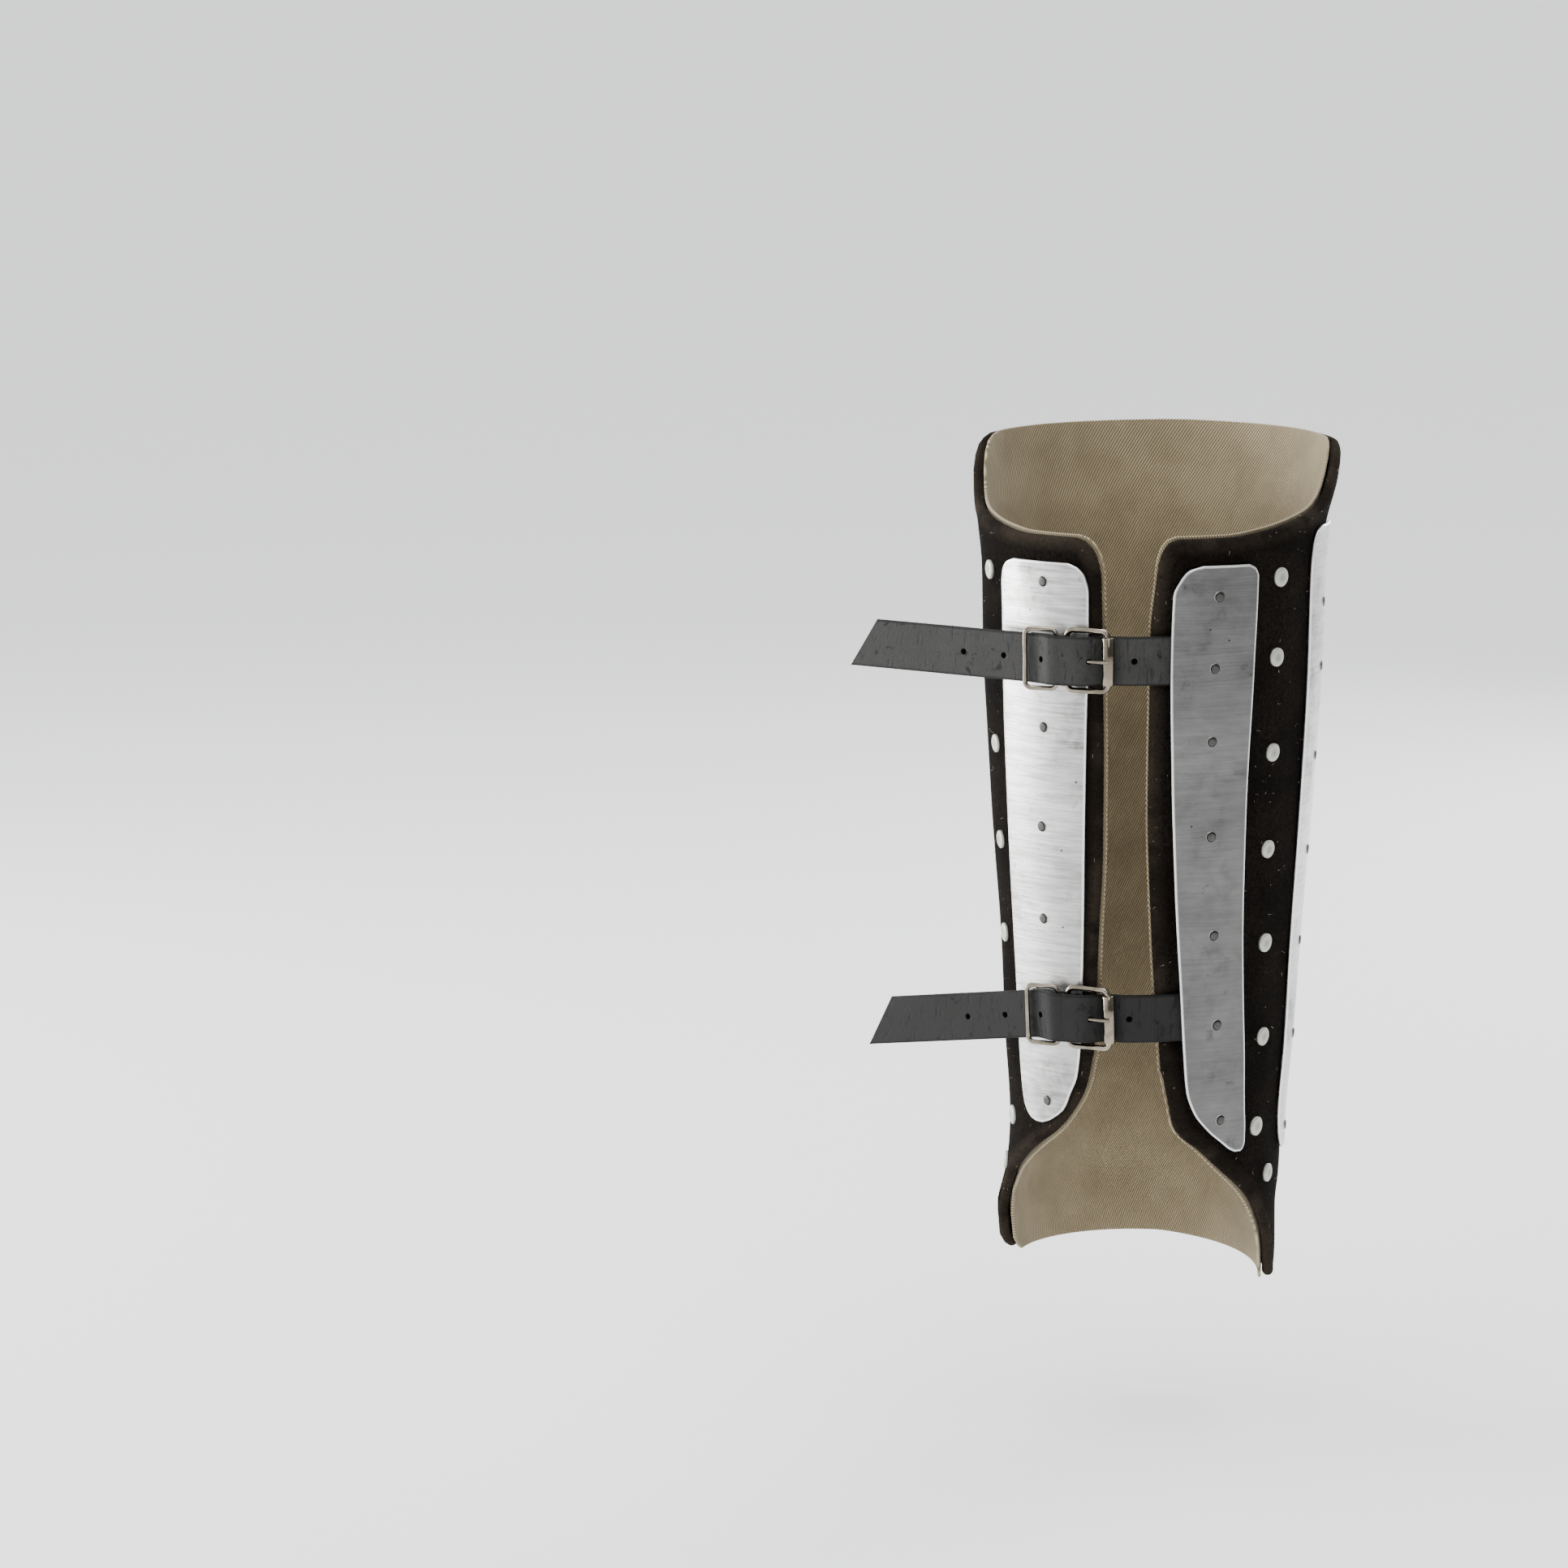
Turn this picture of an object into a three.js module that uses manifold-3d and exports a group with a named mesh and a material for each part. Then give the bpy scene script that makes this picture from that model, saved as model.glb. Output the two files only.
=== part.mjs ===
// A splinted greave for the right lower leg: a thick suede shell, open at the back,
// with a twill lining, steel splints riveted outside, disc rivets between them and
// two buckled straps. Millimetres, +Z up, +Y forward over the shin, +X to the outer side.
// The origin is on the leg's axis, close to the height of the lowest hem.

import * as THREE from 'three';
import { mergeVertices } from 'three/addons/utils/BufferGeometryUtils.js';
import Module from 'manifold-3d';

const wasm = await Module();
wasm.setup();

// Driving sizes of the shell and lining
const HEIGHT = 350;
const CALF_WIDTH = 141.4;
const CALF_DEPTH = 144;
const LEATHER = 4.6;
const EDGE_ROLL = 1.5;
const LINING = 1.2;
const LINING_PROUD = 0.9;
const CORNER_DROP = 15;
const CORNER_REACH = 9;

// Driving sizes of the steel
const STEEL = 1.4;
const RIVET_RADIUS = 2;
const RIVET_HEAD = 0.7;
const DISC_RADIUS = 4;
const DISC_HEIGHT = 1;
const SHANK_RADIUS = 1.3;
const SHANK_DEPTH = 3;
const CHAMFER = 0.86;

// Driving sizes of the straps and buckles
const STRAP_WIDTH = 20;
const STRAP = 2;
const CHAPE = 1.6;
const WIRE_RADIUS = 1.15;
const KEEPER_RADIUS = 0.95;
const PRONG_RADIUS = 0.85;
const ROLLER_RADIUS = 2.5;
const ROLLER_WALL = 0.6;
const BUCKLE_LENGTH = 18;
const BUCKLE_CORNER = 3;
const BUCKLE_PLAY = 1.1;
const KEEPER_SET_BACK = 4.4;
const KEEPER_CORNER = 2.6;
const HOLE_RADIUS = 1.3;
const HOLE_PITCH = 20;
const END_CUT = 14;
const ANCHOR = 25;
const CHAPE_TAIL = 5;
const CHAPE_MARGIN = 0.5;
const CHAPE_END_CUT = 4;
const KEEPER_ARC = 23.5;
const LET_IN_SHARE = 0.62;

// Clearances: between faces that touch, and between curved faces cut into facets
const GAP = 0.3;
const SEAT = 0.6;
const PIN_PLAY = 0.25;

// How finely the curved walls are divided
const FRONT_COLUMNS = 12;
const SPLINT_COLUMNS = 4;
const STRAP_STEPS = 28;
const TAIL_STEPS = 5;
const WIRE_SIDES = 6;
const SHANK_SIDES = 5;
const RIVET_SIDES = 5;
const DISC_SIDES = 7;
const ROLLER_SIDES = 12;

// Form of the shell's outer face. Shares of HEIGHT, CALF_WIDTH, CALF_DEPTH, and the
// sideways and forward shift of the section's centre as shares of width and depth.
const FORM = [
  // height, width, depth, sideways, forward
  [0.000, 0.784, 0.833, -0.024, 0.049],
  [0.040, 0.814, 0.854, -0.035, 0.049],
  [0.080, 0.818, 0.861, -0.037, 0.049],
  [0.123, 0.802, 0.847, -0.021, 0.050],
  [0.180, 0.796, 0.840, -0.013, 0.047],
  [0.289, 0.832, 0.869, -0.009, 0.038],
  [0.400, 0.863, 0.903, -0.006, 0.028],
  [0.574, 0.925, 0.956, -0.003, 0.013],
  [0.731, 0.971, 0.989, -0.001, 0.002],
  [0.849, 0.988, 1.000, -0.001, 0.000],
  [0.897, 1.009, 1.018, -0.003, 0.000],
  [0.954, 1.073, 1.066, -0.002, 0.000],
  [1.000, 1.108, 1.095, 0.000, 0.000],
];

// Top edge, the same on both sides: degrees from the back, share of HEIGHT
const COLLAR = [
  [0, 0.899], [36, 0.900], [50, 0.905], [66, 0.914], [80, 0.924], [88, 0.938],
  [94, 0.962], [100, 0.984], [110, 0.995], [180, 1.000],
];

// Rounding of the top corners at the opening: share of CORNER_REACH past the edge,
// share of CORNER_DROP
const CORNER = [[0, 1], [0.1, 0.6], [0.3, 0.28], [0.58, 0.08], [1, 0], [30, 0]];

// The opening's edge (share of HEIGHT, degrees from the back) and the hem below it
// (degrees from the back, share of HEIGHT), which is cut away over the heel
const SIDES = {
  inner: {
    sign: -1,
    opening: [[0.289, 12.9], [0.430, 10.4], [0.540, 8.1], [0.670, 7.5], [0.857, 8.1]],
    hem: [
      [0, 0.298], [12, 0.289], [14.2, 0.266], [17.1, 0.243], [22.8, 0.219], [31.6, 0.193],
      [43.9, 0.170], [59.5, 0.142], [72, 0.118], [78, 0.094], [81, 0.070], [83.5, 0.046],
      [87, 0.026], [94, 0.016], [180, 0.014],
    ],
  },
  outer: {
    sign: 1,
    opening: [[0.272, 15.2], [0.430, 10.7], [0.600, 8.6], [0.790, 9.0], [0.857, 11.0]],
    hem: [
      [0, 0.283], [12, 0.272], [16.8, 0.235], [19.8, 0.207], [23.3, 0.194], [31.6, 0.177],
      [45.9, 0.144], [59.9, 0.115], [72, 0.086], [81, 0.056], [87, 0.026], [92, -0.002],
      [97, -0.008], [108, -0.003], [180, 0.014],
    ],
  },
};
const OPENING_AZIMUTH = 12;
const OPENING_BLEND = 20;

// The shell's grid: degrees past the opening's edge, and shares of each column's height
const NEAR_COLUMNS = [0, 0.7, 2.1, 4.1, 7, 12, 20, 31, 44, 58];
const ROW_SHARES = [0, 0.05, 0.1, 0.15, 0.22, 0.38, 0.58, 0.75, 0.85, 0.91, 0.955, 1];

// Outlines of the splints: share of HEIGHT, degrees from the back to the edge nearer
// the opening and to the edge further from it
const BACK_OUTER = [
  [0.1690, 49.0, 52.0], [0.1730, 46.0, 53.4], [0.1810, 42.4, 54.2], [0.1970, 35.7, 54.1],
  [0.2200, 29.0, 53.2], [0.2480, 25.3, 52.1], [0.2940, 23.5, 50.6], [0.3630, 21.7, 48.5],
  [0.4870, 18.7, 45.9], [0.6230, 16.6, 44.8], [0.7540, 15.6, 45.5], [0.8340, 16.2, 46.2],
  [0.8540, 18.7, 46.2], [0.8640, 21.3, 45.0], [0.8690, 25.9, 42.5],
];
const BACK_INNER = [
  [0.2000, 37.4, 41.0], [0.2030, 34.2, 44.3], [0.2100, 29.9, 47.1], [0.2220, 25.3, 49.3],
  [0.2400, 22.3, 50.1], [0.2620, 18.9, 50.4], [0.2950, 17.2, 50.5], [0.4250, 15.1, 51.1],
  [0.5860, 13.4, 50.2], [0.6940, 12.3, 49.5], [0.7710, 11.5, 49.0], [0.8370, 11.5, 49.1],
  [0.8540, 12.6, 48.3], [0.8650, 15.1, 45.7], [0.8700, 18.5, 41.7],
];
const SIDE = [
  [0.1540, 89.5, 94.5], [0.1590, 86.2, 98.2], [0.1740, 82.8, 101.6], [0.2100, 80.6, 103.0],
  [0.2940, 79.8, 103.2], [0.4200, 78.0, 103.4], [0.5860, 76.2, 103.7],
  [0.7400, 75.0, 104.0], [0.8570, 74.6, 104.5], [0.8830, 75.4, 103.6],
  [0.8970, 77.6, 101.2], [0.9030, 81.6, 97.0],
];
const FRONT = [
  [0.1640, 174.0, 186.0], [0.1700, 169.5, 190.5], [0.1850, 166.2, 193.8],
  [0.2200, 165.0, 195.0], [0.4000, 164.3, 195.7], [0.6000, 163.8, 196.2],
  [0.8600, 163.4, 196.6], [0.9050, 164.0, 196.0], [0.9270, 166.8, 193.2],
  [0.9370, 171.5, 188.5],
];
// Degrees by which the inner side splint sits further forward than the outer one
const INNER_SIDE_SHIFT = 20;

// Rivets of the splints: share of HEIGHT, degrees from the back
const BACK_OUTER_RIVETS = [
  [0.211, 40.6], [0.327, 36.6], [0.435, 33.8], [0.553, 31.1], [0.665, 30.1], [0.750, 30.4],
  [0.833, 31.5],
];
const BACK_INNER_RIVETS = [
  [0.229, 33.5], [0.342, 32.7], [0.449, 32.1], [0.559, 31.1], [0.677, 28.9], [0.763, 28.6],
  [0.847, 28.3],
];
const SIDE_RIVETS = [
  [0.180, 92.0], [0.293, 91.2], [0.406, 90.2], [0.516, 89.4], [0.629, 88.9],
  [0.735, 88.8], [0.811, 88.8],
];
const FRONT_RIVETS = [
  [0.196, 180], [0.310, 180], [0.424, 180], [0.538, 180], [0.652, 180],
  [0.766, 180], [0.880, 180],
];

// Columns of disc rivets: share of HEIGHT, degrees from the back
const BACK_DISCS = [
  [0.132, 73.8], [0.194, 62.5], [0.303, 62.1], [0.417, 59.8], [0.530, 57.4], [0.645, 56.6],
  [0.757, 56.2], [0.850, 57.0],
];
const BACK_INNER_DISC_SHIFT = 3.2;
const FRONT_DISCS = [
  [0.100, 132], [0.194, 133], [0.303, 133], [0.417, 134], [0.530, 134],
  [0.645, 135], [0.757, 135], [0.850, 135],
];

// The two straps: share of HEIGHT and azimuth of the buckle's middle, the tail's free
// length past the keeper, the degrees it droops, and which of the back splints' rivets,
// counted from the lowest, pass through the strap ends
const STRAPS = [
  { name: 'upper', height: 0.7595, azimuth: -10.9, tail: 90, droop: 0, rivet: 5 },
  { name: 'lower', height: 0.337, azimuth: -12.1, tail: 89, droop: 9, rivet: 1 },
];

const SUEDE = new THREE.MeshStandardMaterial({ color: 0x17130f, roughness: 0.95 });
const TWILL = new THREE.MeshStandardMaterial({ color: 0xb5a184, roughness: 0.9 });
const BRUSHED = new THREE.MeshStandardMaterial({ color: 0xb9b8b4, roughness: 0.4, metalness: 1 });
const DISC_METAL = new THREE.MeshStandardMaterial({ color: 0xc9c9c2, roughness: 0.5, metalness: 1 });
const BELT = new THREE.MeshStandardMaterial({ color: 0x26262a, roughness: 0.7 });
const NICKEL = new THREE.MeshStandardMaterial({ color: 0xd6d2c8, roughness: 0.2, metalness: 1 });

const radians = THREE.MathUtils.degToRad;
const UPWARD = new THREE.Vector3(0, 0, 1);
const CYLINDER_AXIS = new THREE.Vector3(0, 1, 0);

// A smooth curve through a table's rows, read at a key in its first column
function through(rows, column, at) {
  const last = rows.length - 1;
  if (at <= rows[0][0]) return rows[0][column];
  if (at >= rows[last][0]) return rows[last][column];
  let row = 0;
  while (rows[row + 1][0] < at) row += 1;
  const slope = (a, b) => (rows[b][column] - rows[a][column]) / (rows[b][0] - rows[a][0]);
  const tangent = (k) => {
    if (k === 0) return slope(0, 1);
    if (k === last) return slope(last - 1, last);
    const before = slope(k - 1, k);
    const after = slope(k, k + 1);
    return before * after <= 0 ? 0 : (2 * before * after) / (before + after);
  };
  const span = rows[row + 1][0] - rows[row][0];
  const t = (at - rows[row][0]) / span;
  const [from, to] = [rows[row][column], rows[row + 1][column]];
  return from * (1 + 2 * t) * (1 - t) ** 2 + to * (3 - 2 * t) * t * t
    + span * (tangent(row) * t * (1 - t) ** 2 - tangent(row + 1) * t * t * (1 - t));
}

// The point over an azimuth and height, a distance out from the shell's outer face
function onForm(azimuth, z, offset) {
  const share = z / HEIGHT;
  const halfWidth = (through(FORM, 1, share) * CALF_WIDTH) / 2 + offset;
  const halfDepth = (through(FORM, 2, share) * CALF_DEPTH) / 2 + offset;
  const sideways = through(FORM, 3, share) * CALF_WIDTH;
  const forward = through(FORM, 4, share) * CALF_DEPTH;
  const angle = radians(azimuth);
  return new THREE.Vector3(
    sideways + halfWidth * Math.sin(angle),
    forward - halfDepth * Math.cos(angle),
    z,
  );
}

// Outward direction of the form there
function outward(azimuth, z) {
  const across = onForm(azimuth + 0.5, z, 0).sub(onForm(azimuth - 0.5, z, 0));
  const up = onForm(azimuth, z + 0.5, 0).sub(onForm(azimuth, z - 0.5, 0));
  return across.cross(up).normalize();
}

// Millimetres round the form for each degree, near an azimuth
function perDegree(azimuth, z) {
  return onForm(azimuth + 0.5, z, 0).distanceTo(onForm(azimuth - 0.5, z, 0));
}

function triangleMesh(points, triangles) {
  const geometry = new THREE.BufferGeometry();
  const positions = points.flatMap((point) => point.toArray());
  geometry.setAttribute('position', new THREE.Float32BufferAttribute(positions, 3));
  let volume = 0;
  for (const [a, b, c] of triangles) {
    volume += points[a].dot(points[b].clone().cross(points[c]));
  }
  const facing = volume > 0 ? triangles : triangles.map(([a, b, c]) => [a, c, b]);
  geometry.setIndex(facing.flat());
  return geometry;
}

function toSolid(geometry) {
  const bare = geometry.clone();
  bare.deleteAttribute('normal');
  bare.deleteAttribute('uv');
  const merged = mergeVertices(bare, 1e-4);
  return new wasm.Manifold(new wasm.Mesh({
    numProp: 3,
    vertProperties: new Float32Array(merged.attributes.position.array),
    triVerts: new Uint32Array(merged.index.array),
  }));
}

function toGeometry(solid) {
  const mesh = solid.getMesh();
  const geometry = new THREE.BufferGeometry();
  geometry.setAttribute('position', new THREE.BufferAttribute(mesh.vertProperties, 3));
  geometry.setIndex(new THREE.BufferAttribute(mesh.triVerts, 1));
  return geometry;
}

// A closed wall between two grids of points, with a row of rim points round its edge
function wall(front, back, rim) {
  const columns = front.length;
  const rows = front[0].length;
  const points = [...front.flat(), ...back.flat()];
  const triangles = [];
  const at = (side, i, j) => side * columns * rows + i * rows + j;
  const quad = (a, b, c, d) => triangles.push([a, b, c], [a, c, d]);
  for (let i = 0; i < columns - 1; i += 1) {
    for (let j = 0; j < rows - 1; j += 1) {
      quad(at(0, i, j), at(0, i + 1, j), at(0, i + 1, j + 1), at(0, i, j + 1));
      quad(at(1, i, j), at(1, i, j + 1), at(1, i + 1, j + 1), at(1, i + 1, j));
    }
  }
  const edge = [];
  for (let i = 0; i < columns - 1; i += 1) edge.push([i, 0]);
  for (let j = 0; j < rows - 1; j += 1) edge.push([columns - 1, j]);
  for (let i = columns - 1; i > 0; i -= 1) edge.push([i, rows - 1]);
  for (let j = rows - 1; j > 0; j -= 1) edge.push([0, j]);
  const start = points.length;
  if (rim) edge.forEach(([i, j]) => points.push(rim(i, j)));
  edge.forEach(([i, j], k) => {
    const next = (k + 1) % edge.length;
    const [ni, nj] = edge[next];
    if (rim) {
      quad(at(0, ni, nj), at(0, i, j), start + k, start + next);
      quad(start + next, start + k, at(1, i, j), at(1, ni, nj));
    } else {
      quad(at(0, ni, nj), at(0, i, j), at(1, i, j), at(1, ni, nj));
    }
  });
  return triangleMesh(points, triangles);
}

// A round wire along points: closed into a ring, or ended with flat caps
function wire(path, radius, { closed = false, up = UPWARD, taper = () => 1 } = {}) {
  const points = [];
  const triangles = [];
  const count = path.length;
  path.forEach((point, k) => {
    const before = path[closed ? (k + count - 1) % count : Math.max(k - 1, 0)];
    const after = path[closed ? (k + 1) % count : Math.min(k + 1, count - 1)];
    const along = after.clone().sub(before).normalize();
    const side = up.clone().addScaledVector(along, -up.dot(along)).normalize();
    const third = along.clone().cross(side);
    const size = radius * taper(k / (count - 1));
    for (let s = 0; s < WIRE_SIDES; s += 1) {
      const turn = (2 * Math.PI * (s + 0.5)) / WIRE_SIDES;
      points.push(point.clone()
        .addScaledVector(side, size * Math.cos(turn))
        .addScaledVector(third, size * Math.sin(turn)));
    }
  });
  const at = (k, s) => (k % count) * WIRE_SIDES + (s % WIRE_SIDES);
  for (let k = 0; k < (closed ? count : count - 1); k += 1) {
    for (let s = 0; s < WIRE_SIDES; s += 1) {
      triangles.push([at(k, s), at(k + 1, s), at(k + 1, s + 1)]);
      triangles.push([at(k, s), at(k + 1, s + 1), at(k, s + 1)]);
    }
  }
  if (!closed) {
    for (let s = 1; s < WIRE_SIDES - 1; s += 1) {
      triangles.push([at(0, 0), at(0, s), at(0, s + 1)]);
      triangles.push([at(count - 1, 0), at(count - 1, s + 1), at(count - 1, s)]);
    }
  }
  return triangleMesh(points, triangles);
}

// A round bar between two points, such as a rivet's shank or the tool that cuts its hole
function bar(from, to, radius, sides, endRadius = radius) {
  const axis = to.clone().sub(from);
  const geometry = new THREE.CylinderGeometry(endRadius, radius, axis.length(), sides);
  const turn = new THREE.Quaternion().setFromUnitVectors(CYLINDER_AXIS, axis.clone().normalize());
  geometry.applyQuaternion(turn);
  const middle = from.clone().add(to).multiplyScalar(0.5);
  geometry.translate(middle.x, middle.y, middle.z);
  return toSolid(geometry);
}

// The shell's grid: azimuths from the opening's inner edge, round the front, to its outer edge
function shellColumns() {
  const near = NEAR_COLUMNS.map((past) => OPENING_AZIMUTH + past);
  const first = near[near.length - 1];
  const far = [];
  for (let k = 1; k < FRONT_COLUMNS; k += 1) {
    far.push(first + ((360 - 2 * first) * k) / FRONT_COLUMNS);
  }
  return [
    ...near.map((azimuth) => ({ side: SIDES.inner, azimuth })),
    ...far.map((turn) => (turn <= 180
      ? { side: SIDES.inner, azimuth: turn }
      : { side: SIDES.outer, azimuth: 360 - turn })),
    ...near.reverse().map((azimuth) => ({ side: SIDES.outer, azimuth })),
  ];
}

// Lowest and highest point of the leather in a column
function columnSpan({ side, azimuth }) {
  const past = (azimuth - OPENING_AZIMUTH) * perDegree(side.sign * azimuth, HEIGHT * COLLAR[0][1]);
  return {
    low: through(side.hem, 1, azimuth) * HEIGHT,
    high: through(COLLAR, 1, azimuth) * HEIGHT
      - through(CORNER, 1, past / CORNER_REACH) * CORNER_DROP,
  };
}

// Azimuth of a column at a height: near the opening the columns follow its edge
function columnAzimuth({ side, azimuth }, z) {
  const fade = Math.max(0, 1 - (azimuth - OPENING_AZIMUTH) / OPENING_BLEND) ** 2;
  return side.sign * (azimuth + (through(side.opening, 1, z / HEIGHT) - OPENING_AZIMUTH) * fade);
}

// A grid over the shell, drawn in from its edges by an inset, at a distance from its outer face
function shellGrid(inset, offset) {
  const columns = shellColumns();
  return columns.map((column, i) => {
    const { low, high } = columnSpan(column);
    return ROW_SHARES.map((share) => {
      const drawnIn = share === 0 ? inset : share === 1 ? -inset : 0;
      const z = low + (high - low) * share + drawnIn;
      let azimuth = columnAzimuth(column, z);
      const turn = inset / perDegree(azimuth, z);
      if (i === 0) azimuth -= turn;
      if (i === columns.length - 1) azimuth += turn;
      return onForm(azimuth, z, offset);
    });
  });
}

function rivetEnd(azimuth, z, seat, height, radius, sides) {
  const normal = outward(azimuth, z);
  const base = onForm(azimuth, z, seat);
  const top = base.clone().addScaledVector(normal, height);
  return bar(base, top, radius, sides, radius * CHAMFER);
}

function shank(azimuth, z, from, to, radius) {
  const normal = outward(azimuth, z);
  const face = onForm(azimuth, z, 0);
  return bar(
    face.clone().addScaledVector(normal, from),
    face.clone().addScaledVector(normal, to),
    radius,
    SHANK_SIDES,
  );
}

// Splints. The rivets that pass through a strap end are longer than the others.
const SPLINT_FACE = SEAT + STEEL;
const CHAPE_TOP = SPLINT_FACE + 3 * GAP + 2 * CHAPE;
const throughStraps = STRAPS.map((strap) => strap.rivet);
const mirrored = (rows, shift) => rows.map(
  ([height, ...azimuths]) => [height, ...azimuths.map((azimuth) => -azimuth - shift)],
);
const SPLINTS = [
  { name: 'splint_back_outer', outline: BACK_OUTER, rivets: BACK_OUTER_RIVETS, inward: throughStraps },
  {
    name: 'splint_back_inner',
    outline: mirrored(BACK_INNER, 0),
    rivets: mirrored(BACK_INNER_RIVETS, 0),
    raised: throughStraps,
  },
  { name: 'splint_side_outer', outline: SIDE, rivets: SIDE_RIVETS },
  {
    name: 'splint_side_inner',
    outline: mirrored(SIDE, INNER_SIDE_SHIFT),
    rivets: mirrored(SIDE_RIVETS, INNER_SIDE_SHIFT),
  },
  { name: 'splint_front', outline: FRONT, rivets: FRONT_RIVETS },
];

function splint({ outline, rivets, inward = [], raised = [] }) {
  const column = (across, offset) => outline.map(
    ([share, from, to]) => onForm(from + (to - from) * across, share * HEIGHT, offset),
  );
  const face = (offset) => Array.from(
    { length: SPLINT_COLUMNS + 1 },
    (_, i) => column(i / SPLINT_COLUMNS, offset),
  );
  let solid = toSolid(wall(face(SPLINT_FACE), face(SEAT)));
  rivets.forEach(([share, azimuth], k) => {
    const z = share * HEIGHT;
    const seat = SPLINT_FACE - STEEL / 2;
    const top = (raised.includes(k) ? CHAPE_TOP : SPLINT_FACE) + RIVET_HEAD;
    solid = solid.add(rivetEnd(azimuth, z, seat, top - seat, RIVET_RADIUS, RIVET_SIDES));
    if (inward.includes(k)) solid = solid.add(shank(azimuth, z, -GAP - STRAP, seat, SHANK_RADIUS));
  });
  return solid;
}

// Disc rivets, each with a shank let into the leather
const DISC_COLUMNS = [
  { name: 'disc_back_outer', rows: BACK_DISCS },
  { name: 'disc_back_inner', rows: mirrored(BACK_DISCS, BACK_INNER_DISC_SHIFT) },
  { name: 'disc_front_outer', rows: FRONT_DISCS },
  { name: 'disc_front_inner', rows: mirrored(FRONT_DISCS, 0) },
];

function discRivet(azimuth, z) {
  const normal = outward(azimuth, z);
  const seat = onForm(azimuth, z, GAP);
  const profile = [
    [0, -SHANK_DEPTH], [SHANK_RADIUS, -SHANK_DEPTH], [SHANK_RADIUS, 0], [DISC_RADIUS, 0],
    [DISC_RADIUS * CHAMFER, DISC_HEIGHT], [0, DISC_HEIGHT],
  ].map(([radius, height]) => new THREE.Vector2(radius, height));
  const geometry = new THREE.LatheGeometry(profile, DISC_SIDES);
  geometry.applyQuaternion(new THREE.Quaternion().setFromUnitVectors(CYLINDER_AXIS, normal));
  geometry.translate(seat.x, seat.y, seat.z);
  return toSolid(geometry);
}

// A strap's flat frame at its buckle: x round the leg towards the outer side, y outward
function buckleFrame({ height, azimuth }) {
  const z = height * HEIGHT;
  const origin = onForm(azimuth, z, 0);
  const away = outward(azimuth, z).setZ(0).normalize();
  const along = new THREE.Vector3(-away.y, away.x, 0);
  const [top, bottom] = [z + STRAP_WIDTH / 2, z - STRAP_WIDTH / 2];
  const rise = onForm(azimuth, top, 0).sub(onForm(azimuth, bottom, 0));
  const lean = rise.dot(away) / rise.z;
  const upward = UPWARD.clone().addScaledVector(away, lean);
  const place = (x, y, up = 0) => origin.clone()
    .addScaledVector(along, x)
    .addScaledVector(away, y)
    .addScaledVector(upward, up);
  return { z, origin, away, along, lean, place };
}

const PIN_X = -BUCKLE_LENGTH / 2;
const SPLINT_SAG = PIN_X ** 2 / CALF_WIDTH;
const CHAPE_BASE = SPLINT_FACE - SPLINT_SAG + GAP;
const PIN_Y = CHAPE_BASE + CHAPE + PIN_PLAY + WIRE_RADIUS;
const FOLD_INNER = WIRE_RADIUS + PIN_PLAY;
const FOLD_OUTER = FOLD_INNER + CHAPE;
const ROLLER_LIFT = 0.6;
const ROLLER_Y = PIN_Y + ROLLER_LIFT;
const UNDER_ROLLER = ROLLER_Y - ROLLER_RADIUS - SEAT - STRAP / 2;
const OVER_PIN = PIN_Y + FOLD_OUTER + SEAT + STRAP / 2;
const TONGUE_OVER_CHAPE = CHAPE_TOP + RIVET_HEAD + GAP + STRAP / 2;
const KEEPER_BACK_Y = CHAPE_BASE + CHAPE + GAP + KEEPER_RADIUS;
const LET_IN = -GAP - STRAP / 2;

// How the tongue comes out of the leather, dips under the roller, climbs past the prong over
// the near bar, settles on the chape and springs out past the keeper: places along it in
// millimetres, levels as shares or millimetres, and a turn in degrees
const LEAVING = [0.9, 0.45];
const ON_EDGE = 0.35;
const DIP = { before: 5.5, share: 0.55 };
const CLIMB = { start: 3.4, rise: 1.2, middle: 6.6, lift: 0.4, end: 8.2, drop: 0.7 };
const CROSSING = 0.8;
const TAIL_TURN = 7.5;
const SETTLE = { past: 5.5, drop: 0.1, before: 5, lift: 0.4 };
const BEHIND_BUCKLE = 9;

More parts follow.
